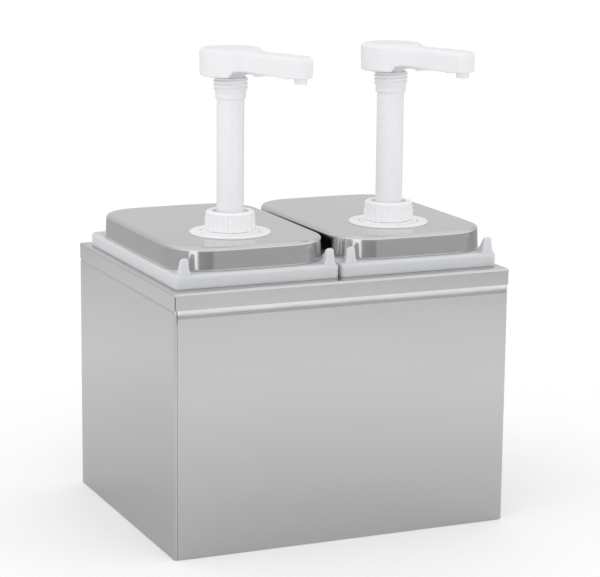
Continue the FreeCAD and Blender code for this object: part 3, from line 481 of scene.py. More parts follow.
def rounded_ring(cx, cy, half, corner, z, side_points=14, corner_points=14):
    """A level ring: a rectangle with round corners, always with the same number of points."""
    a, b = half
    points = []
    for turn in range(4):
        sx = (1, -1, -1, 1)[turn]
        sy = (1, 1, -1, -1)[turn]
        centre = np.array([cx + sx * (a - corner), cy + sy * (b - corner)])
        for k in range(corner_points):
            angle = math.pi / 2 * (turn + k / (corner_points - 1))
            points.append(centre + corner * np.array([math.cos(angle), math.sin(angle)]))
        along = math.pi / 2 * (turn + 1)
        length = 2 * ((a, b)[turn % 2] - corner)
        step = np.array([-math.sin(along), math.cos(along)]) * length / (side_points + 1)
        for k in range(side_points):
            points.append(points[-1] + step)
    points = np.array(points)
    return np.column_stack([points, np.full(len(points), z)])


def tub_rings(cx, cy, rim_half, floor, base, top):
    """Rings from the tub's inner floor, over the mouth and the rim, to its outer floor."""
    mouth_top = top + SPIGOT

    def tub(inset, z):
        """The tapered tub wall at one height."""
        shrink = inset + DRAFT * (mouth_top - z) / (mouth_top - floor)
        half = (MOUTH_HALF[0] - shrink, MOUTH_HALF[1] - shrink)
        return rounded_ring(cx, cy, half, MOUTH_CORNER - shrink, z)

    def rim(inset, z):
        """The rim's square outline moved inwards."""
        half = (rim_half[0] - inset, rim_half[1] - inset)
        return rounded_ring(cx, cy, half, max(RIM_CORNER - inset, 0.8 * MM), z)

    def floor_rings(inset, z, edge):
        """From near the middle of the floor out to the start of the wall."""
        rings = []
        for share in (0.35, 0.7):
            ring = tub(inset + edge, z)
            centre = np.array([cx, cy, z])
            rings.append(centre + (ring - centre) * share)
        for angle in arc_steps(7):
            inwards = edge * (1 - math.sin(angle))
            rings.append(tub(inset + inwards, z + edge * (1 - math.cos(angle))))
        return rings

    def between(first, last, count):
        """Rings that lead evenly from one outline to another."""
        return [first + (last - first) * k / count for k in range(1, count)]

    inside = floor_rings(WALL, floor + WALL, FLOOR_EDGE - WALL)
    inside += [tub(WALL, z) for z in np.linspace(floor + WALL + FLOOR_EDGE, mouth_top - WALL, 10)]
    lip = []
    for angle in np.linspace(math.pi, 0, 9):
        inset = WALL / 2 - WALL / 2 * math.cos(angle)
        lip.append(tub(inset, mouth_top - WALL / 2 + WALL / 2 * math.sin(angle)))
    fillet = 1.6 * MM
    spigot = [tub(0.0, mouth_top - WALL), tub(0.0, top + fillet * 1.6)]
    for angle in arc_steps(6)[1:]:
        out = fillet * (1 - math.cos(angle))
        spigot.append(tub(-out, top + fillet * (1 - math.sin(angle))))
    shelf_start = spigot[-1]
    edge = []
    for angle in arc_steps(9):
        inset = RIM_EDGE * (1 - math.sin(angle))
        edge.append(rim(inset, top - RIM_EDGE * (1 - math.cos(angle))))
    shelf = between(shelf_start, edge[0], 9)
    bottom_round = 0.5 * MM
    outer = [rim(0.0, z) for z in np.linspace(top - RIM_EDGE, base + bottom_round, 6)[1:]]
    outer += [rim(0.15 * MM, base + 0.15 * MM), rim(bottom_round, base)]
    outer += [rim(WALL - bottom_round, base), rim(WALL, base + bottom_round)]
    under_top = top - WALL
    outer += [rim(WALL, z) for z in np.linspace(base + bottom_round, under_top - 1 * MM, 4)[1:]]
    outer.append(rim(WALL + 0.8 * MM, under_top))
    below = tub(0.0, under_top)
    outer += between(outer[-1], below, 4)
    skin = [tub(0.0, z) for z in np.linspace(under_top, floor + FLOOR_EDGE + 1 * MM, 10)]
    underside = floor_rings(0.0, floor, FLOOR_EDGE)[::-1]
    return inside + lip + spigot + shelf + edge + outer + skin + underside


def horn_rings(cx, cy, rim_half, top, side):
    """Level rings up one ear. side is +1 for the ear towards +X."""
    edge_x = cx + side * rim_half[0]
    front = cy - rim_half[1]
    tip_round = 2.7 * MM
    heights = [(h * MM, 0.0) for h in (-5.0, 0.0, 0.8, 1.8, 3.0, 5.0, 8.0, 10.5, 12.3)]
    for angle in arc_steps(7)[1:]:
        rise = HORN_HEIGHT - tip_round + tip_round * math.sin(angle)
        heights.append((rise, tip_round * (1 - math.cos(angle))))
    rings = []
    for height, inset in heights:
        t = max(height, 0.0) / HORN_HEIGHT
        root = float(1 - smoothstep(height / (4.0 * MM)))
        corners = [(3.5 + 1.5 * t - 0.8 * root, 0.3 + 0.5 * t),
                   (14.2 - 1.4 * t + 1.0 * root, 0.3 + 0.5 * t),
                   (14.0 - 1.6 * t + 1.0 * root, 14.0 - 9.2 * t + 2.2 * root),
                   (6.2 - 0.4 * t - 0.8 * root, 14.0 - 9.2 * t + 2.2 * root)]
        rounds = (2.6, 1.4, 2.0, 2.4)
        points = []
        for k in range(4):
            here = np.array(corners[k])
            to_last = np.array(corners[k - 1]) - here
            to_next = np.array(corners[(k + 1) % 4]) - here
            start = here + to_last / np.linalg.norm(to_last) * rounds[k]
            end = here + to_next / np.linalg.norm(to_next) * rounds[k]
            for s in np.linspace(0, 1, 8):
                points.append((1 - s) ** 2 * start + 2 * s * (1 - s) * here + s * s * end)
        points = np.array(points) * MM
        middle = points.mean(0)
        away = points - middle
        reach = np.linalg.norm(away, axis=1, keepdims=True)
        points = middle + away * (1 - 0.9 * inset / reach)
        xs = edge_x - side * points[:, 0]
        ys = front + points[:, 1]
        rings.append(np.column_stack([xs, ys, np.full(len(xs), top + height)]))
    return rings


def apply_modifiers(piece):
    """Bakes a piece's modifiers into its mesh."""
    bpy.context.view_layer.update()
    graph = bpy.context.evaluated_depsgraph_get()
    baked = bpy.data.meshes.new_from_object(piece.evaluated_get(graph))
    piece.modifiers.clear()
    piece.data = baked


def join_solid(piece, cutter_data, name, operation="UNION"):
    """Adds or cuts a closed helper mesh."""
    mesh = bpy.data.meshes.new(name)
    mesh.from_pydata([tuple(v) for v in cutter_data[0]], [], cutter_data[1])
    shade(mesh, 40)
    helper = bpy.data.objects.new(name, mesh)
    bpy.context.scene.collection.objects.link(helper)
    modifier = piece.modifiers.new("join", "BOOLEAN")
    modifier.operation = operation
    modifier.solver = "EXACT"
    modifier.object = helper
    apply_modifiers(piece)
    bpy.data.objects.remove(helper)


def build_container(side):
    """The milky tub of one station with its rim and two ears."""
    node = "container_" + side
    low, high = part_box(node)
    top = high.z - HORN_HEIGHT
    base = top - RIM_HEIGHT
    rim_half = ((high.x - low.x) / 2, (high.y - low.y) / 2)
    middle = centre_of(node)
    rings = tub_rings(middle.x, middle.y, rim_half, low.z, base, top)
    vertices, faces = capped_shell(rings)
    piece = make_piece("container_tub_" + side, vertices, faces, materials["container_plastic"],
                       node, (node,), 40)
    for hand in (-1, 1):
        ear = capped_shell(horn_rings(middle.x, middle.y, rim_half, top, hand))
        join_solid(piece, ear, "ear_helper")
    shade(piece.data, 40)


# ---- Pump: flange, nut, bush, stem ------------------------------------------------------------
FLANGE_RADIUS = 38.5 * MM
FLANGE_THICKNESS = 1.8 * MM
SLOT_INNER = 27.3 * MM
SLOT_WIDTH = 1.5 * MM
SLOT_DEPTH = 1.3 * MM
NECK_BORE = 17.0 * MM
NUT_RADIUS = 23.15 * MM
NUT_MOUTH = 17.0 * MM
NUT_BORE = 19.7 * MM
NUT_LIFT = 1.5 * MM
RIBS = 60
LUGS = 7
BRIDGES = 6
PLATFORM = 1.0 * MM
SPRING_WIRE = 1.6 * MM
SPRING_TURNS = 11
PUMP_TURN = {"left": math.radians(42.5), "right": math.radians(12.5)}


def build_flange(side):
    """The white disc on the lid, with its interrupted ring of slots."""
    node = "pump_flange_" + side
    cx, cy = pump_axis(side)
    low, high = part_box(node)
    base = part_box("lid_" + side)[1].z + LID_LIFT
    top = base + FLANGE_THICKNESS
    count = 360
    angles = np.arange(count) * (2 * math.pi / count)
    spacing = 2 * math.pi / BRIDGES
    phase = (angles - PUMP_TURN[side]) % spacing
    nearest = np.minimum(phase, spacing - phase) * SLOT_INNER
    open_slot = smoothstep((nearest - 2.0 * MM) / (0.8 * MM))

    def ring(radius, z, dip=0.0):
        """A ring that dips only where there is no bridge."""
        level = polar_ring(cx, cy, radius, z, count)
        level[:, 2] -= dip * open_slot
        return level

    slot_outer = SLOT_INNER + SLOT_WIDTH
    rings = [ring(NECK_BORE, low.z), ring(25.0 * MM, low.z), ring(25.0 * MM, base)]
    rings += [ring(FLANGE_RADIUS - 0.2 * MM, base), ring(FLANGE_RADIUS, base + 0.2 * MM)]
    for angle in arc_steps(6):
        edge = 0.8 * MM
        rings.append(ring(FLANGE_RADIUS - edge * (1 - math.cos(angle)),
                          top - edge + edge * math.sin(angle)))
    rings += [ring(34.0 * MM, top), ring(slot_outer + 0.35 * MM, top)]
    rings += [ring(slot_outer + 0.1 * MM, top - 0.1 * MM)]
    rings += [ring(slot_outer, top - 0.1 * MM, SLOT_DEPTH)]
    rings += [ring(SLOT_INNER, top - 0.1 * MM, SLOT_DEPTH)]
    raised = top + PLATFORM
    rings += [ring(SLOT_INNER, raised - 0.5 * MM), ring(SLOT_INNER - 0.15 * MM, raised - 0.15 * MM)]
    rings += [ring(SLOT_INNER - 0.5 * MM, raised), ring(19.7 * MM, raised)]
    rings += [ring(19.6 * MM, high.z), ring(NECK_BORE, high.z)]
    vertices, faces = ring_shell(rings)
    make_piece("flange_disc_" + side, vertices, faces, materials["nut_plastic"],
               "lid_" + side, (node,), 40)


def build_nut(side):
    """The closure nut with fine ribs and seven larger lugs."""
    node = "closure_nut_" + side
    cx, cy = pump_axis(side)
    low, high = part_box(node)
    count = 960
    angles = np.arange(count) * (2 * math.pi / count)
    wave = 0.5 + 0.5 * np.cos(angles * RIBS)
    rib = 0.5 * MM * wave
    spacing = 2 * math.pi / LUGS
    offset = (angles - PUMP_TURN[side] + spacing / 2) % spacing - spacing / 2
    lug = 1.6 * MM * smoothstep((1.9 * MM - np.abs(offset) * NUT_RADIUS) / (0.9 * MM))

    def ring(radius, z, ribbed=0.0, lugged=0.0):
        """A ring with some of the ribs' and lugs' depth."""
        extra = np.maximum(rib * ribbed, lug * lugged)
        radii = radius + extra
        heights = np.full(count, z)
        return np.column_stack([cx + radii * np.cos(angles), cy + radii * np.sin(angles), heights])

    bottom = low.z + NUT_LIFT
    top = high.z + NUT_LIFT
    skin = NUT_RADIUS - 0.35 * MM
    rings = [ring(NUT_BORE, bottom + 0.4 * MM), ring(NUT_BORE + 0.4 * MM, bottom)]
    rings += [ring(skin - 0.5 * MM, bottom, 0.0, 0.9), ring(skin, bottom + 0.4 * MM, 0.5, 1.0)]
    for z in np.linspace(0.9, 10.4, 8):
        rings.append(ring(skin, bottom + z * MM, 1.0, 1.0))
    for z, share in ((10.9, 0.9), (11.3, 0.6), (11.6, 0.2), (11.8, 0.0)):
        rings.append(ring(skin, bottom + z * MM, 1.0, share))
    for z, share in ((14.0, 1.0), (15.2, 1.0), (15.6, 0.75), (15.9, 0.4)):
        rings.append(ring(skin, bottom + z * MM, share))
    edge = 2.4 * MM
    for angle in arc_steps(9):
        rings.append(ring(NUT_RADIUS - edge * (1 - math.cos(angle)),
                          top - edge + edge * math.sin(angle)))
    lip = 0.7 * MM
    rings.append(ring(NUT_MOUTH + lip + 0.6 * MM, top))
    for angle in arc_steps(5):
        rings.append(ring(NUT_MOUTH + lip * (1 - math.sin(angle)),
                          top - lip * (1 - math.cos(angle))))
    web = top - 3.2 * MM
    rings += [ring(NUT_MOUTH, web + 0.1 * MM), ring(NUT_MOUTH + 0.1 * MM, web)]
    rings += [ring(NUT_BORE - 0.1 * MM, web), ring(NUT_BORE, web - 0.1 * MM)]
    vertices, faces = ring_shell(rings)
    make_piece("nut_cap_" + side, vertices, faces, materials["nut_plastic"],
               "lid_" + side, (node,), 55)


def build_bush(side):
    """The flanged guide bush that shows inside the nut's mouth."""
    node = "guide_bush_" + side
    cx, cy = pump_axis(side)
    low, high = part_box(node)
    top = high.z + LID_LIFT
    seat = top - 1.6 * MM
    bore = 12.98 * MM
    profile = [(bore, low.z), (15.0 * MM, low.z), (15.0 * MM, seat), (16.6 * MM, seat)]
    for angle in arc_steps(5):
        profile.append((16.6 * MM - 0.8 * MM * (1 - math.cos(angle)),
                        top - 0.8 * MM + 0.8 * MM * math.sin(angle)))
    profile += [(14.4 * MM, top), (14.2 * MM, top - 0.5 * MM), (13.6 * MM, top - 0.5 * MM),
                (13.3 * MM, top), (bore + 0.3 * MM, top), (bore, top - 0.3 * MM)]
    vertices, faces = lathe(cx, cy, profile, 128)
    make_piece("bush_ring_" + side, vertices, faces, materials["nut_plastic"],
               "lid_" + side, (node,), 35)


def build_stem(side):
    """The stem tube."""
    node = "stem_tube_" + side
    cx, cy = pump_axis(side)
    low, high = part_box(node)
    outer = 12.9 * MM
    bore = 9.5 * MM
    profile = [(bore, low.z), (outer - 0.5 * MM, low.z), (outer, low.z + 0.5 * MM)]
    profile += [(outer, z) for z in np.linspace(low.z + 2 * MM, high.z - 1 * MM, 24)]
    profile += [(outer - 0.4 * MM, high.z), (bore, high.z)]
    profile += [(bore, z) for z in np.linspace(high.z - 1 * MM, low.z + 2 * MM, 12)]
    vertices, faces = lathe(cx, cy, profile, 128)
    make_piece("stem_pipe_" + side, vertices, faces, materials["white_plastic"],
               "plunger_" + side, (node,), 35)


def build_collar(side):
    """The lock collar: a rounded shoulder and a thread."""
    node = "lock_collar_" + side
    cx, cy = pump_axis(side)
    low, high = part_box(node)
    count = 160
    angles = np.arange(count) * (2 * math.pi / count)
    bore = 12.91 * MM
    shoulder = 14.5 * MM
    core = 15.2 * MM
    crest = 0.95 * MM
    pitch = 3.6 * MM
    starts = 1
    thread_low = low.z + 7.2 * MM

    def ridge(z):
        """Extra radius of the thread at one height, round the collar."""
        turn = (z - thread_low) / pitch - starts * angles / (2 * math.pi)
        distance = np.abs((turn + 0.5) % 1.0 - 0.5)
        fade = smoothstep((z - thread_low) / (1.8 * MM))
        return crest * fade * smoothstep((0.36 - distance) / 0.26)

    def ring(radius, z, threaded=False):
        """A ring with or without the thread."""
        radii = radius + (ridge(z) if threaded else 0.0 * angles)
        heights = np.full(count, z)
        return np.column_stack([cx + radii * np.cos(angles), cy + radii * np.sin(angles), heights])

    rings = [ring(bore, low.z)]
    base_round = 1.3 * MM
    for angle in arc_steps(7):
        rings.append(ring(shoulder - base_round * (1 - math.sin(angle)),
                          low.z + base_round * (1 - math.cos(angle))))
    rings.append(ring(shoulder - 0.3 * MM, low.z + 4.2 * MM))
    rings.append(ring(shoulder, low.z + 6.6 * MM))
    for z in np.arange(thread_low, high.z - 0.05 * MM, 0.22 * MM):
        rings.append(ring(core, z, True))
    rings.append(ring(core, high.z))
    rings.append(ring(bore, high.z))
    vertices, faces = ring_shell(rings)
    make_piece("collar_thread_" + side, vertices, faces, materials["white_plastic"],
               "plunger_" + side, (node,), 60)


def build_nozzle(side):
    """The short outlet tube under the arm's end."""
    node = "nozzle_" + side
    middle = centre_of(node)
    low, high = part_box(node)
    bore = 3.6 * MM
    outer = (high.x - low.x) / 2
    profile = [(bore, low.z + 0.4 * MM), (bore + 0.3 * MM, low.z + 0.05 * MM)]
    for angle in arc_steps(5):
        profile.append((outer - 0.45 * MM - 0.7 * MM * (1 - math.sin(angle)),
                        low.z + 0.7 * MM * (1 - math.cos(angle))))
    profile += [(outer, low.z + 5.0 * MM), (outer, high.z), (bore, high.z)]
    vertices, faces = lathe(middle.x, middle.y, profile, 96)
    make_piece("nozzle_tip_" + side, vertices, faces, materials["white_plastic"],
               "plunger_" + side, (node,), 40)


def build_spring(side):
    """The return spring, a coil that rests against the foot valve, with a mesh of its own."""
    node = "return_spring_" + side
    cx, cy = pump_axis(side)
    low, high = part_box(node)
    wire = SPRING_WIRE / 2
    mean = (high.x - low.x) / 2 - wire
    steps = SPRING_TURNS * 48
    size = 10
    rings = []
    for index in range(steps + 1):
        share = index / steps
        turn = 2 * math.pi * SPRING_TURNS * share
        outward = np.array([math.cos(turn), math.sin(turn), 0.0])
        centre = np.array([cx, cy, low.z + wire + (high.z - low.z - 2 * wire) * share])
        section = []
        for corner in range(size):
            angle = 2 * math.pi * corner / size
            across = outward * math.cos(angle) + np.array([0.0, 0.0, 1.0]) * math.sin(angle)
            section.append(centre + outward * mean + wire * across)
        rings.append(np.array(section))
    vertices, faces = capped_shell(rings)
    piece = make_piece("spring_coil_" + side, vertices, faces, materials["spring_steel"],
                       "lid_" + side, (node,), 60)
    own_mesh(piece)


# ---- Pump head -------------------------------------------------------------------------------
# The head is one blended form, so it is described by how far a point lies outside its surface.
# Its own axes are used: the origin on the pump's axis at the skirt's lower edge, X along the arm.
ARM_ANGLE = math.radians(-60.0)
HEAD_CELL = 0.75 * MM
KNOB_RADIUS = 29.4 * MM
KNOB_HEIGHT = 27.1 * MM
SKIRT_LOW = 1.4 * MM
ARM_HALF_WIDTH = 12.0 * MM
ARM_REACH = 90.0 * MM
ARM_END_ROUND = 8.0 * MM
WEB_RADIUS = 37.0 * MM            # hollow curve between the knob and the arm's side
WEB_X = 44.2 * MM                 # where that curve meets the arm's straight side
SKIRT_INSIDE = 26.4 * MM
BOSS_RADIUS = 16.2 * MM
HOLLOW_TOP = 24.0 * MM
DUCT_WALL = 9.2 * MM              # the hollow keeps this far from the arm's middle
STEM_SOCKET = 12.95 * MM
OUTLET_X = 81 * MM
OUTLET_RADIUS = 6.25 * MM
COVER_SLOT = (17.3 * MM, 72.2 * MM)


def rounded_pair(first, second, radius):
    """Joins two signed distances at right angles with a rounded edge."""
    a = first + radius
    b = second + radius
    outside = np.hypot(np.maximum(a, 0), np.maximum(b, 0))
    return outside + np.minimum(np.maximum(a, b), 0) - radius


def soft_union(first, second, blend):
    """The union of two forms with a filleted join."""
    h = np.clip(0.5 + 0.5 * (second - first) / blend, 0, 1)
    return second * (1 - h) + first * h - blend * h * (1 - h)


def arm_outline(x, y):
    """The signed distance to the spout arm as seen from above, hollow webs included."""
    qx = x - (ARM_REACH - ARM_END_ROUND)
    qy = np.abs(y) - (ARM_HALF_WIDTH - ARM_END_ROUND)
    straight = np.hypot(np.maximum(qx, 0), np.maximum(qy, 0))
    straight = straight + np.minimum(np.maximum(qx, qy), 0) - ARM_END_ROUND
    web_y = ARM_HALF_WIDTH + WEB_RADIUS
    to_web = WEB_RADIUS - np.hypot(x - WEB_X, np.abs(y) - web_y)
    # the web fills the corner between the knob and the straight arm only
    root_slope = web_y / WEB_X
    in_corner = np.maximum(x - WEB_X, np.abs(y) - root_slope * np.maximum(x, 0))
    web = np.maximum(np.maximum(to_web, in_corner), np.hypot(x, y) - 50 * MM)
    return np.maximum(np.minimum(straight, web), -x - 6 * MM)


def head_distance(p):
    """The signed distance of points to the pump head's surface, roughly."""
    x, y, z = p[:, 0], p[:, 1], p[:, 2]
    across = np.hypot(x, y)
    crown = 0.8 * MM * np.clip(1 - (across / (30 * MM)) ** 2, 0, 1)
    draft = 0.8 * MM * np.clip(1 - z / KNOB_HEIGHT, 0, 1)
    knob_side = across - (KNOB_RADIUS - draft)
    knob_top = rounded_pair(knob_side, z - KNOB_HEIGHT - crown, 4.0 * MM)
    # the skirt's lower edge steps up where the arm leaves the knob
    bearing = np.degrees(np.arctan2(np.abs(y), x))
    step = SKIRT_LOW + 6.2 * MM * smoothstep((58 - bearing) / 14)
    knob = np.where(z > KNOB_HEIGHT / 2, knob_top, rounded_pair(knob_side, step - z, 2.4 * MM))

    # the arm's underside climbs from the outer part towards the knob
    climb = smoothstep((74 * MM - x) / (66 * MM))
    arm_low = 4.5 * MM + 4.0 * MM * climb
    arm_high = 25.9 * MM - 1.7 * MM * x / ARM_REACH
    plan = arm_outline(x, y)
    arm_top = rounded_pair(plan, z - arm_high, 4.6 * MM)
    arm_base = rounded_pair(plan, arm_low - z, 1.3 * MM)
    middle = (arm_low + arm_high) / 2
    arm = np.where(z > middle, arm_top, arm_base)
    body = soft_union(knob, arm, 3.5 * MM)

    # the hollow skirt round the boss, kept away from the arm's duct
    hollow = np.maximum(across - SKIRT_INSIDE, BOSS_RADIUS - across)
    hollow = np.maximum(hollow, z - HOLLOW_TOP)
    hollow = np.maximum(hollow, np.where(x > 0, DUCT_WALL - np.abs(y), -1.0))
    bore = np.maximum(across - STEM_SOCKET, z - 6.0 * MM)
    outlet = np.maximum(np.hypot(x - OUTLET_X, y) - OUTLET_RADIUS, z - 10.4 * MM)
    slot = np.maximum(np.maximum(COVER_SLOT[0] - x, x - COVER_SLOT[1]), np.abs(y) - 7.1 * MM)
    slot = np.maximum(slot, z - arm_low - 3.0 * MM)
    body = np.maximum(body, -hollow)
    body = np.maximum(body, -bore)
    body = np.maximum(body, -outlet)
    return np.maximum(body, -slot)


def surface_net(distance, low, high, cell):
    """A quad mesh of the surface where distance is zero, one vertex in each cell it crosses."""
    counts = np.ceil((high - low) / cell).astype(int) + 1
    axes = [low[k] + cell * np.arange(counts[k]) for k in range(3)]
    grid = np.stack(np.meshgrid(*axes, indexing="ij"), axis=-1)
    value = distance(grid.reshape(-1, 3)).reshape(counts)
    inside = value < 0
    corners = [(i, j, k) for i in (0, 1) for j in (0, 1) for k in (0, 1)]
    cells = tuple(counts - 1)
    filled = np.zeros(cells, int)
    for i, j, k in corners:
        filled += inside[i:i + cells[0], j:j + cells[1], k:k + cells[2]]
    crossed = (filled > 0) & (filled < 8)
    number = np.full(cells, -1)
    where = np.argwhere(crossed)
    number[crossed] = np.arange(len(where))
    total = np.zeros((len(where), 3))
    weight = np.zeros(len(where))
    for axis in range(3):
        for corner in corners:
            if corner[axis]:
                continue
            other = list(corner)
            other[axis] = 1
            a = where + corner
            b = where + other
            va = value[tuple(a.T)]
            vb = value[tuple(b.T)]
            cuts = (va < 0) != (vb < 0)
            t = np.where(cuts, va / np.where(cuts, va - vb, 1), 0)[:, None]
            total += np.where(cuts[:, None], a + (b - a) * t, 0)
            weight += cuts
    points = low + cell * total / weight[:, None]
    faces = []
    for axis in range(3):
        ahead = [slice(None)] * 3
        behind = [slice(None)] * 3
        ahead[axis] = slice(1, None)
        behind[axis] = slice(None, -1)
        changed = inside[tuple(ahead)] != inside[tuple(behind)]
        for spot in np.argwhere(changed):
            u, v = [k for k in range(3) if k != axis]
            if spot[u] == 0 or spot[v] == 0 or spot[u] >= cells[u] or spot[v] >= cells[v]:
                continue
            quad = []
            for du, dv in ((0, 0), (-1, 0), (-1, -1), (0, -1)):
                place = spot.copy()
                place[u] += du
                place[v] += dv
                quad.append(int(number[tuple(place)]))
            flips = inside[tuple(spot)] != (axis == 1)
            faces.append(tuple(quad[::-1] if flips else quad))
    return points, faces


def settle(points, distance, cell):
    """Moves vertices onto the surface along its slope, a little less each time."""
    step = cell * 0.05
    for strength in (0.9, 0.9, 0.7):
        here = distance(points)
        slope = np.zeros_like(points)
        for axis in range(3):
            shift = np.zeros(3)
            shift[axis] = step
            slope[:, axis] = (distance(points + shift) - distance(points - shift)) / (2 * step)
        length = np.maximum((slope ** 2).sum(1), 0.25)
        move = -strength * here / length
        move = np.clip(move, -cell * 0.5, cell * 0.5)
        points = points + slope * move[:, None]
    return points


def head_mesh():
    """The head's vertices and faces in its own axes."""
    low = np.array([-32.0, -32.0, -1.5]) * MM
    high = np.array([92.0, 32.0, 30.0]) * MM
    points, faces = surface_net(head_distance, low, high, HEAD_CELL)
    return settle(points, head_distance, HEAD_CELL), faces


def build_heads():
    """Both pump heads, from one form turned and placed on each pump's axis."""
    points, faces = head_mesh()
    turn = np.array([[math.cos(ARM_ANGLE), math.sin(ARM_ANGLE)],
                     [-math.sin(ARM_ANGLE), math.cos(ARM_ANGLE)]])
    for side in SIDES:
        node = "pump_head_" + side
        cx, cy = pump_axis(side)
        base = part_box(node)[0].z
        placed = points.copy()
        placed[:, :2] = points[:, :2] @ turn + (cx, cy)
        placed[:, 2] += base
        make_piece("head_shell_" + side, placed, faces, materials["white_plastic"],
                   "plunger_" + side, (node,), 45)


# ---- Stage, light and camera -------------------------------------------------------------------
def build_floor():
    """A plain pale floor that isn't part of the object."""
    mesh = bpy.data.meshes.new("floor")
    left, right, near, far = -25.0, 25.0, -25.0, 40.0
    mesh.from_pydata([(left, near, 0), (right, near, 0), (right, far, 0), (left, far, 0)], [],
                     [(0, 1, 2, 3)])
    floor = bpy.data.objects.new("floor", mesh)
    bpy.context.scene.collection.objects.link(floor)
    floor.location.z = -0.0004
    m = Nodes("floor_white")
    patch = m.noise(3.0, 3.0)
    m.feed(m.shader.inputs["Roughness"], m.spread(patch, 0.6, 0.7))
    m.feed(m.shader.inputs["Specular IOR Level"], 0.2)
    split = m.add("ShaderNodeSeparateXYZ")
    m.feed(split.inputs[0], m.place)
    across, along = split.outputs["X"], split.outputs["Y"]
    distance = m.math("SQRT", m.math("ADD", m.math("MULTIPLY", across, across),
                                     m.math("MULTIPLY", along, along)))
    ray = m.add("ShaderNodeLightPath")
    mirrored = ray.outputs["Is Glossy Ray"]
    # painted shade, seen only in the steel's reflections: mirrored there, the floor is darkest near
    # the object, where its shadow falls, a little darker on the left, and its lit part ends a good
    # metre away
    painted_shade_near = m.spread(distance, 0.26, 0.05, 0.25, 0.75)
    painted_falloff_far = m.spread(distance, 0.0, 0.07, 0.8, 1.2)
    painted_shade_left = m.spread(across, 0.08, 0.0, -0.35, -0.15)
    painted_shade = m.math("ADD", m.math("ADD", painted_shade_near, painted_falloff_far), painted_shade_left)
    white = m.mix(patch, grey(0.945), grey(0.965))
    # the painted shade darkens the floor's colour for reflected rays only
    m.feed(m.shader.inputs["Base Color"],
           m.mix(m.math("MULTIPLY", painted_shade, mirrored), white, grey(0.0)))
    m.feed(m.shader.inputs["Emission Color"], grey(1.0))
    m.feed(m.shader.inputs["Emission Strength"],
           m.math("MULTIPLY", ray.outputs["Is Camera Ray"], 0.08))
    beyond = m.spread(distance, 0.0, 1.0, 1.25, 1.75)
    clear = m.add("ShaderNodeBsdfTransparent")
    blend = m.add("ShaderNodeMixShader")
    m.feed(blend.inputs[0], m.math("MULTIPLY", beyond, mirrored))
    m.tree.links.new(m.shader.outputs[0], blend.inputs[1])
    m.tree.links.new(clear.outputs[0], blend.inputs[2])
    m.tree.links.new(blend.outputs[0], m.tree.nodes["Material Output"].inputs["Surface"])
    mesh.materials.append(m.material)


class WorldNodes(Nodes):
    """The same wrapper for the world's node tree."""

    def __init__(self, name):
        world = bpy.data.worlds.new(name)
        world.use_nodes = True
        bpy.context.scene.world = world
        self.tree = world.node_tree
        self.shader = self.tree.nodes["Background"]
        self.place = self.add("ShaderNodeTexCoord").outputs["Generated"]


# What stands round the object at a low angle: azimuth from the front, in degrees, and brightness.
SURROUNDINGS = (
    (-180, 0.56), (-58, 0.56), (-54, 1.4), (-36, 1.4), (-31, 0.36), (3, 0.31), (9, 0.50), (76, 0.55),
    (84, 0.42), (180, 0.52),
)
CEILING = 1.0
FRONT_WALL = 1.35
FRONT_WALL_HIGH = 1.0
BACK_WALL = 0.73


def build_world():
    """A soft studio: bright ceiling and walls, with darker and brighter things at a low angle."""
    w = WorldNodes("studio")
    split = w.add("ShaderNodeSeparateXYZ")
    w.feed(split.inputs[0], w.place)
    x, y, z = (split.outputs[k] for k in "XYZ")
    azimuth = w.math("ARCTAN2", x, w.math("MULTIPLY", y, -1.0))
    share = w.math("ADD", w.math("DIVIDE", azimuth, 2 * math.pi), 0.5)
    ring = w.add("ShaderNodeFloatCurve")
    w.feed(ring.inputs["Value"], share)
    curve = ring.mapping.curves[0]
    ring.mapping.use_clip = False
    while len(curve.points) < len(SURROUNDINGS):
        curve.points.new(0.5, 0.5)
    for point, (degrees, level) in zip(curve.points, SURROUNDINGS):
        point.location = (degrees / 360 + 0.5, level / 2)
        point.handle_type = "VECTOR"
    ring.mapping.update()
    low = w.math("MULTIPLY", ring.outputs[0], 2.0)
    front = w.spread(z, FRONT_WALL, FRONT_WALL_HIGH, 0.12, 0.3)
    behind = w.spread(y, 0.0, 1.0, -0.2, 0.4)
    walls = w.math("ADD", w.math("MULTIPLY", front, w.math("SUBTRACT", 1.0, behind)),
                   w.math("MULTIPLY", behind, BACK_WALL))
    high = w.spread(z, 0.0, 1.0, 0.35, 0.7)
    above = w.math("ADD", w.math("MULTIPLY", walls, w.math("SUBTRACT", 1.0, high)),
                   w.math("MULTIPLY", high, CEILING))
    risen = w.spread(z, 0.0, 1.0, -0.05, 0.04)
    mirrored = w.math("ADD", w.math("MULTIPLY", low, w.math("SUBTRACT", 1.0, risen)),
                      w.math("MULTIPLY", above, risen))
    ray = w.add("ShaderNodeLightPath")
    lean = w.math("ADD", w.math("MULTIPLY", x, 0.08), w.math("MULTIPLY", y, 0.10))
    soft = w.math("SUBTRACT", 0.99, lean)
    glossy = ray.outputs["Is Glossy Ray"]
    light = w.math("ADD", w.math("MULTIPLY", mirrored, glossy),
                   w.math("MULTIPLY", soft, w.math("SUBTRACT", 1.0, glossy)))
    seen = w.mix(ray.outputs["Is Camera Ray"], light, (1.0, 1.0, 1.0, 1.0))
    w.feed(w.shader.inputs["Color"], seen)
    w.shader.inputs["Strength"].default_value = 1.0


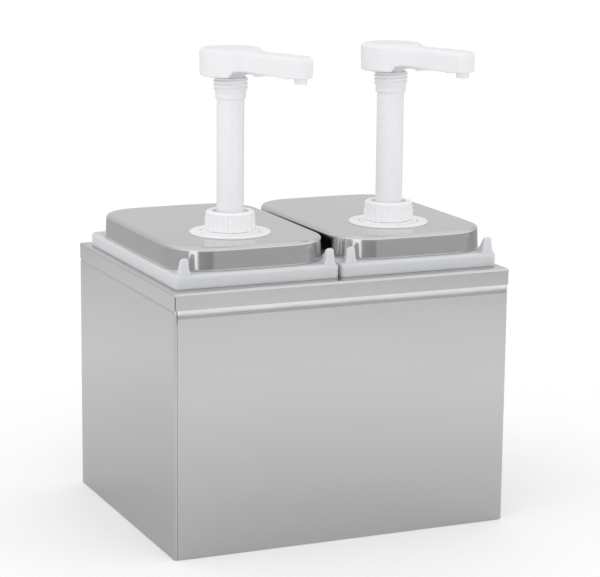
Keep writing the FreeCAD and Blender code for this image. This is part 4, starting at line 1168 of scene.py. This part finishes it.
def area_light(name, place, target, size, power):
    """A soft square light aimed at a point."""
    data = bpy.data.lights.new(name, "AREA")
    data.shape = "RECTANGLE"
    data.size, data.size_y = size
    data.energy = power
    light = bpy.data.objects.new(name, data)
    bpy.context.scene.collection.objects.link(light)
    light.location = place
    aim = Vector(target) - Vector(place)
    light.rotation_euler = aim.to_track_quat("-Z", "Y").to_euler()
    light.visible_glossy = False


def build_lights():
    """A weak softbox above and to the left, on top of the studio's own light."""
    area_light("left_box", (-1.6, -0.9, 1.9), (0.0, 0.0, 0.25), (1.4, 1.4), 1.2)


def build_camera():
    """The camera at the reference viewing angle."""
    azimuth = math.radians(-23.74)
    elevation = math.radians(11.59)
    roll = math.radians(0.58)
    right = Vector((math.cos(azimuth), math.sin(azimuth), 0.0))
    back = Vector((math.sin(azimuth) * math.cos(elevation),
                   -math.cos(azimuth) * math.cos(elevation), math.sin(elevation)))
    up = back.cross(right)
    turned_right = right * math.cos(roll) + up * math.sin(roll)
    turned_up = up * math.cos(roll) - right * math.sin(roll)
    shift = Vector((-0.01292, -0.2151, -2.1897))
    data = bpy.data.cameras.new("camera")
    data.sensor_width = 36.0
    data.lens = 130.78
    data.shift_x = 0.0007
    data.shift_y = -0.0055
    data.clip_end = 50.0
    camera = bpy.data.objects.new("camera", data)
    bpy.context.scene.collection.objects.link(camera)
    place = -(turned_right * shift.x + turned_up * shift.y + back * shift.z)
    matrix = camera.matrix_world.to_3x3()
    for row in range(3):
        matrix[row] = (turned_right[row], turned_up[row], back[row])
    camera.matrix_world = matrix.to_4x4()
    camera.location = place
    bpy.context.scene.camera = camera


def main():
    """Builds the looks around the frame."""
    scene = bpy.context.scene
    for extra in [o for o in scene.objects if o.name in ("Cube", "Light", "Camera")]:
        bpy.data.objects.remove(extra)
    scene.view_settings.view_transform = "Standard"
    dress_cad_nodes()
    for side in SIDES:
        build_lid(side)
        build_container(side)
        build_flange(side)
        build_nut(side)
        build_bush(side)
        build_stem(side)
        build_collar(side)
        build_nozzle(side)
        build_spring(side)
    build_heads()
    build_floor()
    build_world()
    build_lights()
    build_camera()


main()
